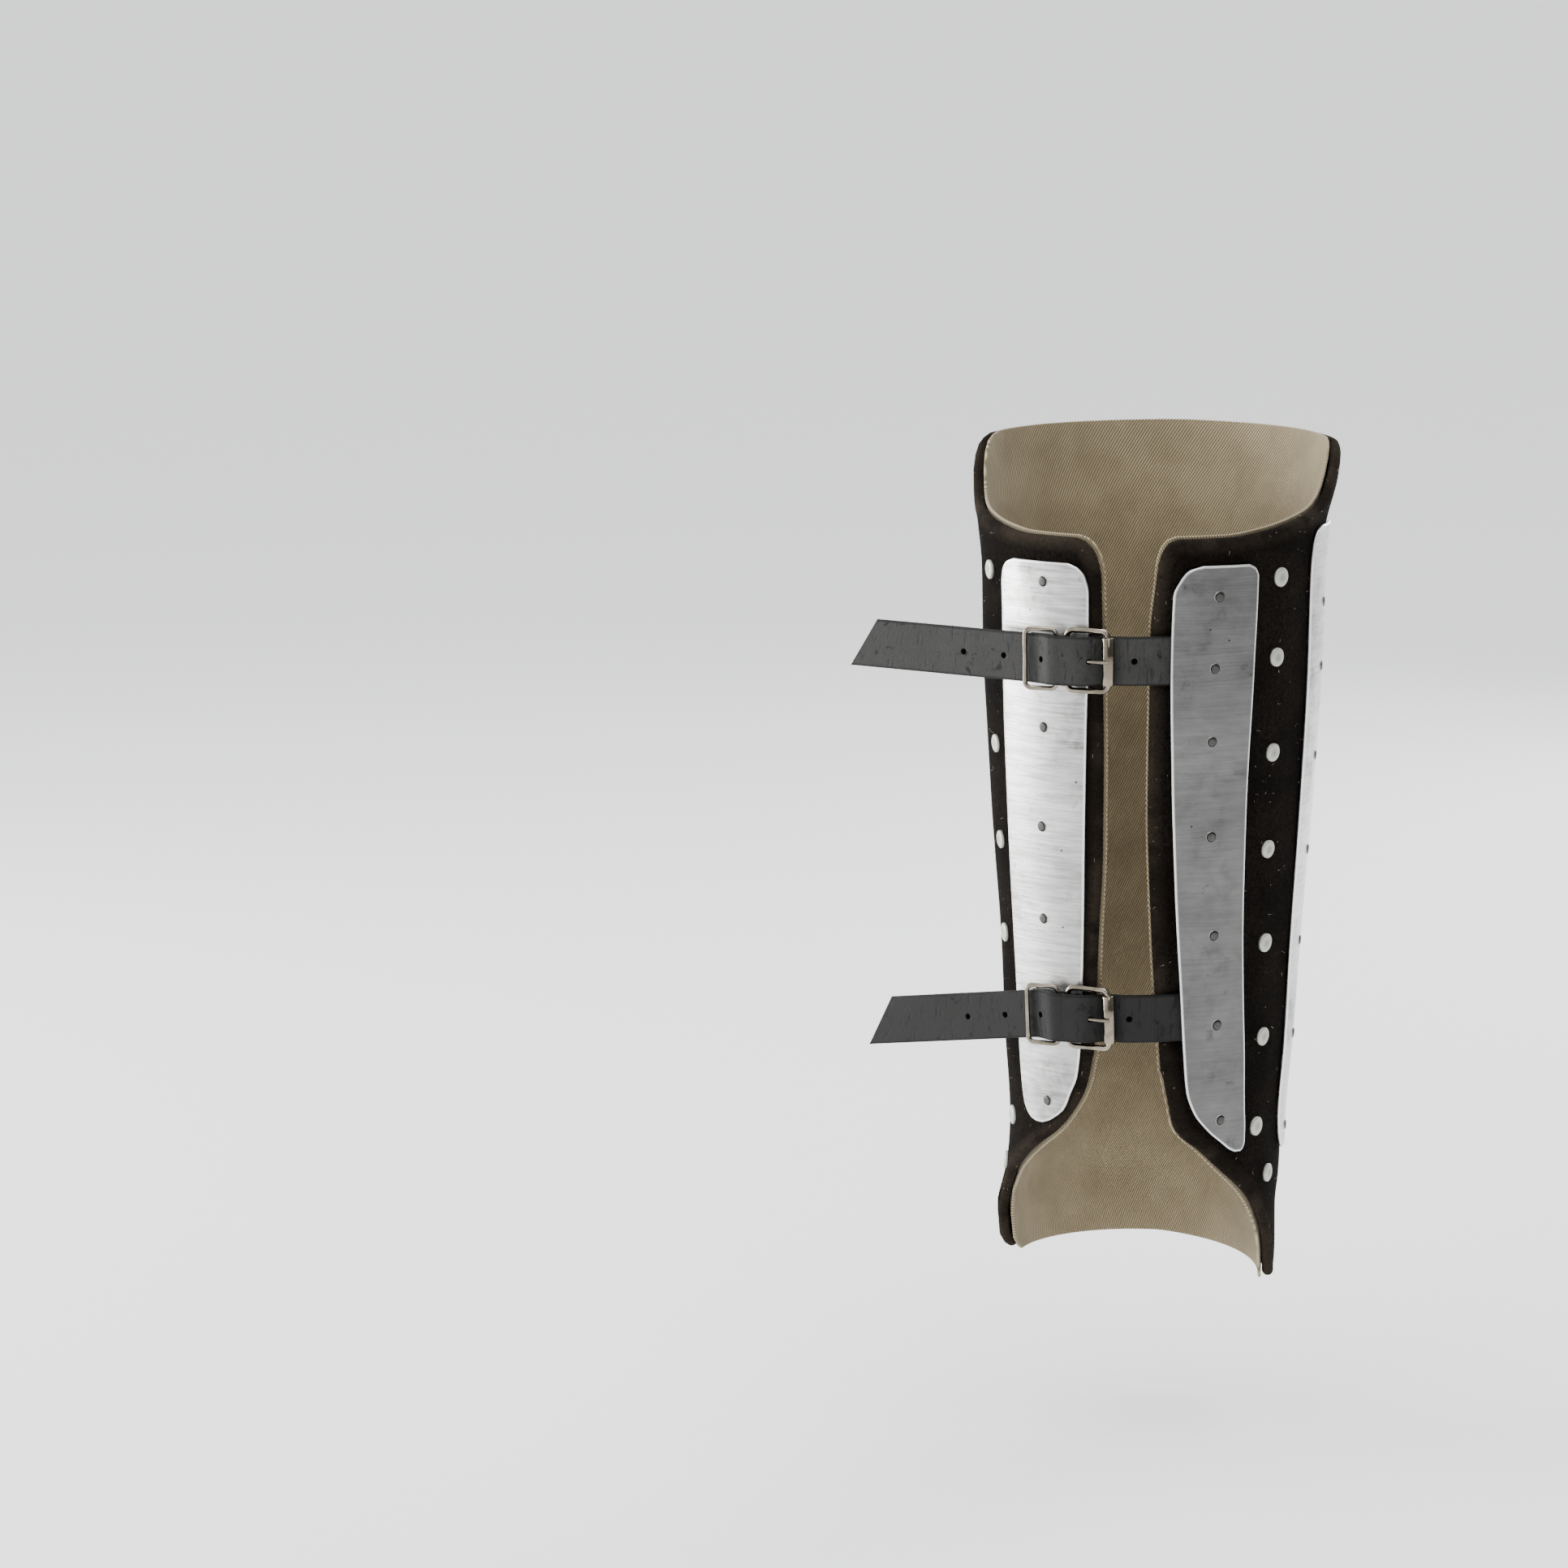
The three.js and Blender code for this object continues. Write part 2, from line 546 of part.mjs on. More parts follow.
// The tongue strap's middle line seen from above, from its riveted end to its tip
function tongueLine(strap) {
  const frame = buckleFrame(strap);
  const { z } = frame;
  const flat = (azimuth, offset) => onForm(azimuth, z, offset);
  const edge = through(BACK_OUTER, 1, strap.height);
  const opening = through(SIDES.outer.opening, 1, strap.height);
  const step = 1 / perDegree(edge, z);
  const keeper = strap.azimuth - KEEPER_ARC / perDegree(strap.azimuth - BEHIND_BUCKLE, z);
  const anchored = edge + ANCHOR * step;
  const route = [
    flat(anchored, LET_IN),
    flat((anchored + edge) / 2, LET_IN),
    flat(edge - step, LET_IN * LEAVING[0]),
    flat((edge + opening) / 2, LET_IN * LEAVING[1]),
    flat(opening - 2 * step, STRAP * ON_EDGE),
    frame.place(BUCKLE_LENGTH / 2 + DIP.before, UNDER_ROLLER * DIP.share),
    frame.place(BUCKLE_LENGTH / 2, UNDER_ROLLER),
    frame.place(BUCKLE_LENGTH / 2 - CLIMB.start, UNDER_ROLLER + CLIMB.rise),
    frame.place(BUCKLE_LENGTH / 2 - CLIMB.middle, (UNDER_ROLLER + OVER_PIN) / 2 + CLIMB.lift),
    frame.place(PIN_X + CLIMB.end, OVER_PIN - CLIMB.drop),
    frame.place(PIN_X, OVER_PIN),
    frame.place(PIN_X - SETTLE.past, OVER_PIN - SETTLE.drop),
    flat(keeper + SETTLE.before * step, TONGUE_OVER_CHAPE + SETTLE.lift),
    flat(keeper, TONGUE_OVER_CHAPE),
  ];
  const heading = route[route.length - 1].clone().sub(route[route.length - 2]).normalize()
    .applyAxisAngle(UPWARD, radians(TAIL_TURN));
  const curve = new THREE.CatmullRomCurve3(route, false, 'centripetal');
  return { curve, heading, keeper, edge, frame };
}

// Stations along the tongue: point, direction, outward direction and length so far
function tongueStations(strap) {
  const { curve, heading, frame } = tongueLine(strap);
  const stations = [];
  let length = 0;
  let last = null;
  const add = (point, tangent) => {
    if (last) length += point.distanceTo(last);
    last = point;
    const out = new THREE.Vector3(-tangent.y, tangent.x, 0).normalize();
    stations.push({ point, tangent, out, length, lean: out.clone().multiplyScalar(frame.lean) });
  };
  for (let k = 0; k <= STRAP_STEPS; k += 1) {
    add(curve.getPointAt(k / STRAP_STEPS), curve.getTangentAt(k / STRAP_STEPS));
  }
  const end = stations[stations.length - 1].point;
  for (let k = 1; k <= TAIL_STEPS; k += 1) {
    add(end.clone().addScaledVector(heading, (strap.tail * k) / TAIL_STEPS), heading.clone());
  }
  return stations;
}

// A flat strap swept along stations, leaning out towards its top; its far end may be
// cut on a slant
function ribbon(stations, thickness, width, { endCut = 0, sink = () => 0 } = {}) {
  const points = [];
  stations.forEach(({ point, tangent, lean, length }, k) => {
    const across = new THREE.Vector3(-tangent.y, tangent.x, 0).normalize();
    const cut = k === stations.length - 1 ? endCut : 0;
    for (const [side, level] of [[-1, -1], [1, -1], [1, 1], [-1, 1]]) {
      points.push(point.clone()
        .addScaledVector(across, (side * thickness) / 2)
        .addScaledVector(lean, (level * width) / 2)
        .addScaledVector(tangent, level > 0 ? -cut : 0)
        .addScaledVector(UPWARD, (level * width) / 2 - sink(length)));
    }
  });
  const triangles = [];
  const at = (k, s) => k * 4 + (s % 4);
  for (let k = 0; k < stations.length - 1; k += 1) {
    for (let s = 0; s < 4; s += 1) {
      triangles.push([at(k, s), at(k + 1, s), at(k + 1, s + 1)]);
      triangles.push([at(k, s), at(k + 1, s + 1), at(k, s + 1)]);
    }
  }
  const end = stations.length - 1;
  triangles.push([at(0, 0), at(0, 1), at(0, 2)], [at(0, 0), at(0, 2), at(0, 3)]);
  triangles.push([at(end, 0), at(end, 2), at(end, 1)], [at(end, 0), at(end, 3), at(end, 2)]);
  return toSolid(triangleMesh(points, triangles));
}

// A wire bent into a rounded rectangle between two bars, as seen from above
function roundedRing(place, from, to, halfHeight, corner, radius) {
  const length = Math.hypot(to.x - from.x, to.y - from.y);
  const [ux, uy] = [(to.x - from.x) / length, (to.y - from.y) / length];
  const path = [];
  const corners = [
    [length - corner, halfHeight - corner, 0], [corner, halfHeight - corner, 90],
    [corner, corner - halfHeight, 180], [length - corner, corner - halfHeight, 270],
  ];
  for (const [cx, cz, start] of corners) {
    for (const turn of [0, 45, 90]) {
      const angle = radians(start + turn);
      const along = cx + corner * Math.cos(angle);
      path.push(place(from.x + ux * along, from.y + uy * along, cz + corner * Math.sin(angle)));
    }
  }
  const normal = place(-uy, ux, 0).sub(place(0, 0, 0)).normalize();
  return wire(path, radius, { closed: true, up: normal });
}

const BUCKLE_HALF = STRAP_WIDTH / 2 + BUCKLE_PLAY + WIRE_RADIUS;

function buckle(strap) {
  const { place } = buckleFrame(strap);
  return roundedRing(
    place,
    { x: PIN_X, y: PIN_Y },
    { x: BUCKLE_LENGTH / 2, y: ROLLER_Y },
    BUCKLE_HALF,
    BUCKLE_CORNER,
    WIRE_RADIUS,
  );
}

// The loose sleeve on the buckle's far bar
function roller(strap) {
  const { place } = buckleFrame(strap);
  const half = STRAP_WIDTH / 2 - GAP;
  const end = (up) => place(BUCKLE_LENGTH / 2, ROLLER_Y, up);
  const outside = bar(end(-half), end(half), ROLLER_RADIUS, ROLLER_SIDES);
  const bore = bar(end(-half - 1), end(half + 1), ROLLER_RADIUS - ROLLER_WALL, ROLLER_SIDES);
  return outside.subtract(bore);
}

// The prong: an eye round the buckle's near bar, then a tapered pin to the roller's top
const PRONG_EYE = WIRE_RADIUS + PIN_PLAY + PRONG_RADIUS;
const PRONG_TIP = 0.7;
const PRONG_BEND = { start: 3, rise: 0.15, sag: 0.3, end: 3, drop: 0.2 };
const EYE_TURNS = [395, 350, 305, 260, 215, 170, 125];

function prongPath(strap) {
  const { place } = buckleFrame(strap);
  const top = PIN_Y + PRONG_EYE;
  const tip = {
    x: BUCKLE_LENGTH / 2 + 1,
    y: ROLLER_Y + ROLLER_RADIUS + GAP + PRONG_RADIUS * PRONG_TIP,
  };
  const path = [];
  for (const turn of EYE_TURNS) {
    const angle = radians(turn);
    path.push(place(PIN_X + PRONG_EYE * Math.cos(angle), PIN_Y + PRONG_EYE * Math.sin(angle)));
  }
  path.push(place(PIN_X, top));
  path.push(place(PIN_X + PRONG_BEND.start, top + PRONG_BEND.rise));
  path.push(place(0, (top + tip.y) / 2 - PRONG_BEND.sag));
  path.push(place(BUCKLE_LENGTH / 2 - PRONG_BEND.end, tip.y - PRONG_BEND.drop));
  path.push(place(tip.x, tip.y));
  return path;
}

function prong(strap, grow = 0) {
  return toSolid(wire(prongPath(strap), PRONG_RADIUS + grow, {
    taper: (share) => (grow > 0 ? 1 : 1 - (1 - PRONG_TIP) * share ** 3),
  }));
}

// The wire keeper: its back bar lies in the folded chape, its front bar over the tongue
function keeper(strap) {
  const { place, origin, along, away } = buckleFrame(strap);
  const { keeper: azimuth, frame } = tongueLine(strap);
  const level = TONGUE_OVER_CHAPE + STRAP / 2 + 2 * GAP + KEEPER_RADIUS;
  const over = onForm(azimuth, frame.z, level).sub(origin);
  return roundedRing(
    place,
    { x: over.dot(along), y: over.dot(away) },
    { x: PIN_X - KEEPER_SET_BACK, y: KEEPER_BACK_Y },
    BUCKLE_HALF - WIRE_RADIUS + KEEPER_RADIUS,
    KEEPER_CORNER,
    KEEPER_RADIUS,
  );
}

// How the chape's plies run past the keeper's back bar: places along them, and levels
const LOWER_PLY = { cutBack: 2, before: 4, past: 2, drop: 0.25, foot: 1 };
const UPPER_PLY = { past: 1.4, drop: 0.05, over: 1.6, ease: 6.5, lift: 0.7, flat: 3 };
const FOLD_TURNS = [-90, -60, -30, 0, 30, 60, 90];

// The chape: a strap folded round the buckle's near bar, both plies riveted to the splint
function chape(strap) {
  const frame = buckleFrame(strap);
  const { place, z } = frame;
  const { keeper: ring } = tongueLine(strap);
  const step = 1 / perDegree(ring, z);
  const end = ring - CHAPE_TAIL * step;
  const lower = SPLINT_FACE + GAP + CHAPE / 2;
  const upper = lower + CHAPE + GAP;
  const fold = FOLD_INNER + CHAPE / 2;
  const ply = (azimuth, offset) => onForm(azimuth, z, offset);
  const bump = PIN_X - KEEPER_SET_BACK;
  const under = KEEPER_BACK_Y - KEEPER_RADIUS - GAP - CHAPE / 2;
  const over = KEEPER_BACK_Y + KEEPER_RADIUS + CHAPE / 2;
  const route = [
    ply(end + LOWER_PLY.cutBack * step, lower),
    ply((end + ring) / 2 + LOWER_PLY.cutBack * step, lower),
    ply(ring + LOWER_PLY.before * step, lower),
    place(bump - LOWER_PLY.past, under - LOWER_PLY.drop),
    place(bump, under),
    place(PIN_X - LOWER_PLY.foot, PIN_Y - fold),
  ];
  for (const turn of FOLD_TURNS) {
    const angle = radians(turn);
    route.push(place(PIN_X + fold * Math.cos(angle), PIN_Y + fold * Math.sin(angle)));
  }
  route.push(
    place(PIN_X - UPPER_PLY.past, PIN_Y + fold - UPPER_PLY.drop),
    place(bump, over + GAP),
    place(bump - UPPER_PLY.over, over + GAP / 2),
    ply(ring + UPPER_PLY.ease * step, upper + UPPER_PLY.lift),
    ply(ring + UPPER_PLY.flat * step, upper),
    ply((end + ring) / 2, upper),
    ply(end, upper),
  );
  const heading = (k) => route[Math.min(k + 1, route.length - 1)].clone()
    .sub(route[Math.max(k - 1, 0)])
    .normalize();
  const stations = route.map((point, k) => ({
    point,
    tangent: heading(k),
    lean: frame.away.clone().multiplyScalar(frame.lean),
    length: 0,
  }));
  const solid = ribbon(stations, CHAPE, STRAP_WIDTH - 2 * CHAPE_MARGIN, { endCut: CHAPE_END_CUT });
  const reach = FOLD_OUTER + 1;
  const slot = new THREE.BoxGeometry(2 * reach, 2 * reach, 2 * (PRONG_RADIUS + GAP));
  const turn = new THREE.Matrix4()
    .makeBasis(frame.along, frame.away.clone().negate(), UPWARD);
  slot.applyMatrix4(turn.setPosition(place(PIN_X, PIN_Y)));
  const [share, azimuth] = SPLINTS[1].rivets[strap.rivet];
  return solid
    .subtract(toSolid(slot))
    .subtract(shank(azimuth, share * HEIGHT, 0, CHAPE_TOP + STRAP, RIVET_RADIUS + 2 * GAP));
}

// The tongue strap with its row of holes, cut clear of the prong and of its rivet
const DROOP_START = 3;
const HOLES = [-1, 1, 2, 3];

function tongue(strap) {
  const stations = tongueStations(strap);
  const start = stations[STRAP_STEPS].length - DROOP_START;
  const slope = Math.tan(radians(strap.droop));
  const sink = (length) => Math.max(0, length - start) * slope;
  const { origin, along } = buckleFrame(strap);
  let solid = ribbon(stations, STRAP, STRAP_WIDTH, { endCut: END_CUT, sink });
  const at = (length) => {
    let k = 0;
    while (k < stations.length - 2 && stations[k + 1].length < length) k += 1;
    const [from, to] = [stations[k], stations[k + 1]];
    const share = (length - from.length) / (to.length - from.length);
    return {
      point: from.point.clone().lerp(to.point, share).setZ(from.point.z - sink(length)),
      out: from.out,
    };
  };
  const used = stations.find(({ point }) => point.clone().sub(origin).dot(along) < CROSSING).length;
  for (const pitch of HOLES) {
    const { point, out } = at(used + pitch * HOLE_PITCH);
    solid = solid.subtract(bar(
      point.clone().addScaledVector(out, -STRAP),
      point.clone().addScaledVector(out, STRAP),
      HOLE_RADIUS,
      RIVET_SIDES,
    ));
  }
  const [share, azimuth] = BACK_OUTER_RIVETS[strap.rivet];
  return solid
    .subtract(prong(strap, GAP))
    .subtract(shank(azimuth, share * HEIGHT, -LEATHER, STRAP, SHANK_RADIUS + 2 * GAP));
}

// What the let-in end of a strap needs cut out of the leather, open outwards
function strapRecess(strap) {
  const depth = STRAP + 2 * GAP;
  const reach = depth + LEATHER;
  const letIn = tongueStations(strap).slice(0, Math.round(STRAP_STEPS * LET_IN_SHARE));
  const recess = letIn.map((station, k) => ({
    ...station,
    point: station.point.clone()
      .addScaledVector(station.out, (reach - depth) / 2)
      .addScaledVector(station.tangent, k === 0 ? -GAP : 0),
  }));
  return ribbon(recess, reach, STRAP_WIDTH + 2 * GAP);
}

const model = new THREE.Group();
const pieces = new THREE.Group();
model.add(pieces);

function addPiece(name, shape, material) {
  const geometry = shape instanceof THREE.BufferGeometry ? shape : toGeometry(shape);
  const mesh = new THREE.Mesh(geometry, material);
  mesh.name = name;
  pieces.add(mesh);
}

// Shell: rolled edges, holes for the discs' shanks, recesses for the strap ends
const rollGrid = shellGrid(0, -LEATHER / 2);
const [outerFace, innerFace] = [shellGrid(EDGE_ROLL, 0), shellGrid(EDGE_ROLL, -LEATHER)];
let shell = toSolid(wall(outerFace, innerFace, (i, j) => rollGrid[i][j]));
for (const { rows } of DISC_COLUMNS) {
  for (const [share, azimuth] of rows) {
    const hole = shank(azimuth, share * HEIGHT, -SHANK_DEPTH, 2, SHANK_RADIUS + 2 * GAP);
    shell = shell.subtract(hole);
  }
}
for (const strap of STRAPS) shell = shell.subtract(strapRecess(strap));
addPiece('shell', shell, SUEDE);

// Lining, a little proud of the leather all round
const liningLevel = -LEATHER - SEAT - GAP / 2;
const liningFaces = [liningLevel, liningLevel - LINING].map((level) => shellGrid(-LINING_PROUD, level));
addPiece('lining', wall(...liningFaces), TWILL);

for (const item of SPLINTS) addPiece(item.name, splint(item), BRUSHED);

for (const { name, rows } of DISC_COLUMNS) {
  rows.forEach(([share, azimuth], k) => {
    addPiece(`${name}_${k + 1}`, discRivet(azimuth, share * HEIGHT), DISC_METAL);
  });
}

for (const strap of STRAPS) {
  addPiece(`${strap.name}_tongue_strap`, tongue(strap), BELT);
  addPiece(`${strap.name}_buckle_strap`, chape(strap), BELT);
  addPiece(`${strap.name}_buckle_frame`, buckle(strap), NICKEL);
  addPiece(`${strap.name}_buckle_roller`, roller(strap), NICKEL);
  addPiece(`${strap.name}_buckle_prong`, prong(strap), NICKEL);
  addPiece(`${strap.name}_keeper`, keeper(strap), NICKEL);
}

export default model;
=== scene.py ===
"""The looks of a splinted greave for the right lower leg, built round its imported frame.

Tables and sizes are in millimetres in the model's frame: +Z up the leg, +Y forward over the
shin, +X to the outer side. Meshes are made in metres.
"""

import logging
import math
from collections.abc import Callable, Sequence
from dataclasses import dataclass, field
from enum import Enum
from typing import Any

import bpy
import numpy as np
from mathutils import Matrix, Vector, kdtree

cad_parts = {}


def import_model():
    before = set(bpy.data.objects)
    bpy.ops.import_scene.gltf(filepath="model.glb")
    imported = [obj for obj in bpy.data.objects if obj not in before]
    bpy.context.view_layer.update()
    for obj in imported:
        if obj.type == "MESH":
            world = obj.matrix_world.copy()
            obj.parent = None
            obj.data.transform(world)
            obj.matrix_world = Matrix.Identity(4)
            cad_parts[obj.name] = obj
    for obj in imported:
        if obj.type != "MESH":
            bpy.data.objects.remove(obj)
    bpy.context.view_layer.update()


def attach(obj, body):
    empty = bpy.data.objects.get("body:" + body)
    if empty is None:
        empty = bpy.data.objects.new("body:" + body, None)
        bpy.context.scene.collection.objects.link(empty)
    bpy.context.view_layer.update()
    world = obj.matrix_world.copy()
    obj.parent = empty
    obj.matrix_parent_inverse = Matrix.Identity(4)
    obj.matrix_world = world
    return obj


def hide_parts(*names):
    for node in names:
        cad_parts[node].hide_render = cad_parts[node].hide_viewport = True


LOG = logging.getLogger("greave")
MM = 0.001
BODY = "root"
SEED = 41

Array = np.ndarray
Row = tuple[float, ...]


# Tables of the greave's shape. Heights are shares of the greave's height, and azimuths are
# degrees round the leg from the middle of its back.
FORM_ROWS: tuple[Row, ...] = (
    (0.000, 0.784, 0.833, -0.024, 0.049),
    (0.040, 0.814, 0.854, -0.035, 0.049),
    (0.080, 0.818, 0.861, -0.037, 0.049),
    (0.123, 0.802, 0.847, -0.021, 0.050),
    (0.180, 0.796, 0.840, -0.013, 0.047),
    (0.289, 0.832, 0.869, -0.009, 0.038),
    (0.400, 0.863, 0.903, -0.006, 0.028),
    (0.574, 0.925, 0.956, -0.003, 0.013),
    (0.731, 0.971, 0.989, -0.001, 0.002),
    (0.849, 0.988, 1.000, -0.001, 0.000),
    (0.897, 1.009, 1.018, -0.003, 0.000),
    (0.954, 1.073, 1.066, -0.002, 0.000),
    (1.000, 1.108, 1.095, 0.000, 0.000),
)
COLLAR: tuple[Row, ...] = (
    (0, 0.899), (36, 0.900), (50, 0.905), (66, 0.914), (80, 0.924), (88, 0.938),
    (94, 0.962), (100, 0.984), (110, 0.995), (180, 1.000),
)
CORNER: tuple[Row, ...] = ((0, 1), (0.1, 0.6), (0.3, 0.28), (0.58, 0.08), (1, 0), (30, 0))
INNER_OPENING: tuple[Row, ...] = (
    (0.289, 12.9), (0.430, 10.4), (0.540, 8.1), (0.670, 7.5), (0.857, 8.1),
)
INNER_HEM: tuple[Row, ...] = (
    (0, 0.298), (12, 0.289), (14.2, 0.266), (17.1, 0.243), (22.8, 0.219), (31.6, 0.193),
    (43.9, 0.170), (59.5, 0.142), (72, 0.118), (78, 0.094), (81, 0.070), (83.5, 0.046),
    (87, 0.026), (94, 0.016), (180, 0.014),
)
OUTER_OPENING: tuple[Row, ...] = (
    (0.272, 15.2), (0.430, 10.7), (0.600, 8.6), (0.790, 9.0), (0.857, 11.0),
)
OUTER_HEM: tuple[Row, ...] = (
    (0, 0.283), (12, 0.272), (16.8, 0.235), (19.8, 0.207), (23.3, 0.194), (31.6, 0.177),
    (45.9, 0.144), (59.9, 0.115), (72, 0.086), (81, 0.056), (87, 0.026), (92, -0.002),
    (97, -0.008), (108, -0.003), (180, 0.014),
)
BACK_OUTER: tuple[Row, ...] = (
    (0.1690, 49.0, 52.0), (0.1730, 46.0, 53.4), (0.1810, 42.4, 54.2), (0.1970, 35.7, 54.1),
    (0.2200, 29.0, 53.2), (0.2480, 25.3, 52.1), (0.2940, 23.5, 50.6), (0.3630, 21.7, 48.5),
    (0.4870, 18.7, 45.9), (0.6230, 16.6, 44.8), (0.7540, 15.6, 45.5), (0.8340, 16.2, 46.2),
    (0.8540, 18.7, 46.2), (0.8640, 21.3, 45.0), (0.8690, 25.9, 42.5),
)
BACK_INNER: tuple[Row, ...] = (
    (0.2000, 37.4, 41.0), (0.2030, 34.2, 44.3), (0.2100, 29.9, 47.1), (0.2220, 25.3, 49.3),
    (0.2400, 22.3, 50.1), (0.2620, 18.9, 50.4), (0.2950, 17.2, 50.5), (0.4250, 15.1, 51.1),
    (0.5860, 13.4, 50.2), (0.6940, 12.3, 49.5), (0.7710, 11.5, 49.0), (0.8370, 11.5, 49.1),
    (0.8540, 12.6, 48.3), (0.8650, 15.1, 45.7), (0.8700, 18.5, 41.7),
)
SIDE: tuple[Row, ...] = (
    (0.1540, 89.5, 94.5), (0.1590, 86.2, 98.2), (0.1740, 82.8, 101.6), (0.2100, 80.6, 103.0),
    (0.2940, 79.8, 103.2), (0.4200, 78.0, 103.4), (0.5860, 76.2, 103.7), (0.7400, 75.0, 104.0),
    (0.8570, 74.6, 104.5), (0.8830, 75.4, 103.6), (0.8970, 77.6, 101.2), (0.9030, 81.6, 97.0),
)
FRONT: tuple[Row, ...] = (
    (0.1640, 174.0, 186.0), (0.1700, 169.5, 190.5), (0.1850, 166.2, 193.8),
    (0.2200, 165.0, 195.0), (0.4000, 164.3, 195.7), (0.6000, 163.8, 196.2),
    (0.8600, 163.4, 196.6), (0.9050, 164.0, 196.0), (0.9270, 166.8, 193.2),
    (0.9370, 171.5, 188.5),
)
BACK_OUTER_RIVETS: tuple[Row, ...] = (
    (0.211, 40.6), (0.327, 36.6), (0.435, 33.8), (0.553, 31.1), (0.665, 30.1), (0.750, 30.4),
    (0.833, 31.5),
)
BACK_INNER_RIVETS: tuple[Row, ...] = (
    (0.229, 33.5), (0.342, 32.7), (0.449, 32.1), (0.559, 31.1), (0.677, 28.9), (0.763, 28.6),
    (0.847, 28.3),
)
SIDE_RIVETS: tuple[Row, ...] = (
    (0.180, 92.0), (0.293, 91.2), (0.406, 90.2), (0.516, 89.4), (0.629, 88.9),
    (0.735, 88.8), (0.811, 88.8),
)
FRONT_RIVETS: tuple[Row, ...] = tuple((0.196 + 0.114 * k, 180.0) for k in range(7))
BACK_DISCS: tuple[Row, ...] = (
    (0.132, 73.8), (0.194, 62.5), (0.303, 62.1), (0.417, 59.8), (0.530, 57.4), (0.645, 56.6),
    (0.757, 56.2), (0.850, 57.0),
)
FRONT_DISCS: tuple[Row, ...] = (
    (0.100, 132), (0.194, 133), (0.303, 133), (0.417, 134), (0.530, 134),
    (0.645, 135), (0.757, 135), (0.850, 135),
)
INNER_SIDE_SHIFT = 20.0
BACK_INNER_DISC_SHIFT = 3.2


def mirrored(rows: Sequence[Row], shift: float = 0.0) -> tuple[Row, ...]:
    """Moves a table's azimuths to the inner side, a shift further forward."""
    return tuple((row[0], *(-azimuth - shift for azimuth in row[1:])) for row in rows)


class Course:
    """A smooth curve through the rows of a table, which never overshoots them."""

    def __init__(self, rows: Sequence[Row], column: int = 1) -> None:
        """Reads one column.

        Args:
            rows: The table, ordered by its first column.
            column: The column of values.
        """
        self.keys = np.array([row[0] for row in rows], float)
        self.values = np.array([row[column] for row in rows], float)
        slopes = np.diff(self.values) / np.diff(self.keys)
        before, after = slopes[:-1], slopes[1:]
        product = before * after
        total = np.where(product > 0, before + after, 1)
        middle = np.where(product > 0, 2 * product / total, 0)
        self.tangents = np.concatenate([slopes[:1], middle, slopes[-1:]])

    def __call__(self, at: Array | float) -> Array:
        """Reads the curve.

        Args:
            at: Keys, which are kept within the table.

        Returns:
            The values there.
        """
        at = np.clip(at, self.keys[0], self.keys[-1])
        row = np.clip(np.searchsorted(self.keys, at) - 1, 0, len(self.keys) - 2)
        span = self.keys[row + 1] - self.keys[row]
        t = (at - self.keys[row]) / span
        start, end = self.values[row], self.values[row + 1]
        from_tangent, to_tangent = self.tangents[row], self.tangents[row + 1]
        return (
            start * (1 + 2 * t) * (1 - t) ** 2
            + end * (3 - 2 * t) * t * t
            + span * (from_tangent * t * (1 - t) ** 2 - to_tangent * t * t * (1 - t))
        )


class LegForm:
    """The outer face of the shell, from which everything else is placed."""

    height = 350.0
    width = 141.4
    depth = 144.0

    def __init__(self) -> None:
        """Reads the form's table."""
        self.half_width, self.half_depth, self.sideways, self.forward = (
            Course(FORM_ROWS, column) for column in (1, 2, 3, 4)
        )

    def point(self, azimuth: Array | float, z: Array | float, offset: Array | float) -> Array:
        """Points over azimuths and heights.

        Args:
            azimuth: Degrees from the back.
            z: Heights in millimetres.
            offset: Distance out from the form.

        Returns:
            The points, with their coordinates in the last axis.
        """
        share = np.asarray(z, float) / self.height
        angle = np.radians(azimuth)
        half_width = self.half_width(share) * self.width / 2 + offset
        half_depth = self.half_depth(share) * self.depth / 2 + offset
        x = self.sideways(share) * self.width + half_width * np.sin(angle)
        y = self.forward(share) * self.depth - half_depth * np.cos(angle)
        return np.stack(np.broadcast_arrays(x, y, np.asarray(z, float)), axis=-1)

    def outward(self, azimuth: Array | float, z: Array | float) -> Array:
        """Unit vectors out from the form at azimuths and heights."""
        across = self.point(np.add(azimuth, 0.5), z, 0) - self.point(np.subtract(azimuth, 0.5), z, 0)
        up = self.point(azimuth, np.add(z, 0.5), 0) - self.point(azimuth, np.subtract(z, 0.5), 0)
        return unit(np.cross(across, up))

    def read(self, points: Array) -> tuple[Array, Array]:
        """Finds where points lie round the form.

        Args:
            points: The points, in millimetres.

        Returns:
            Their azimuths, and their distances out from the form.
        """
        share = points[..., 2] / self.height
        x = points[..., 0] - self.sideways(share) * self.width
        y = points[..., 1] - self.forward(share) * self.depth
        across = x / (self.half_width(share) * self.width / 2)
        back = -y / (self.half_depth(share) * self.depth / 2)
        size = np.hypot(across, back)
        return np.degrees(np.arctan2(across, back)), (1 - 1 / size) * np.hypot(x, y)

    def per_degree(self, azimuth: Array | float, z: Array | float) -> Array:
        """Millimetres round the form for each degree."""
        step = self.point(np.add(azimuth, 0.5), z, 0) - self.point(np.subtract(azimuth, 0.5), z, 0)
        return np.linalg.norm(step, axis=-1)


def unit(vectors: Array) -> Array:
    """The vectors at length one."""
    length = np.linalg.norm(vectors, axis=-1, keepdims=True)
    return vectors / np.maximum(length, 1e-9)


FORM = LegForm()


# Meshes

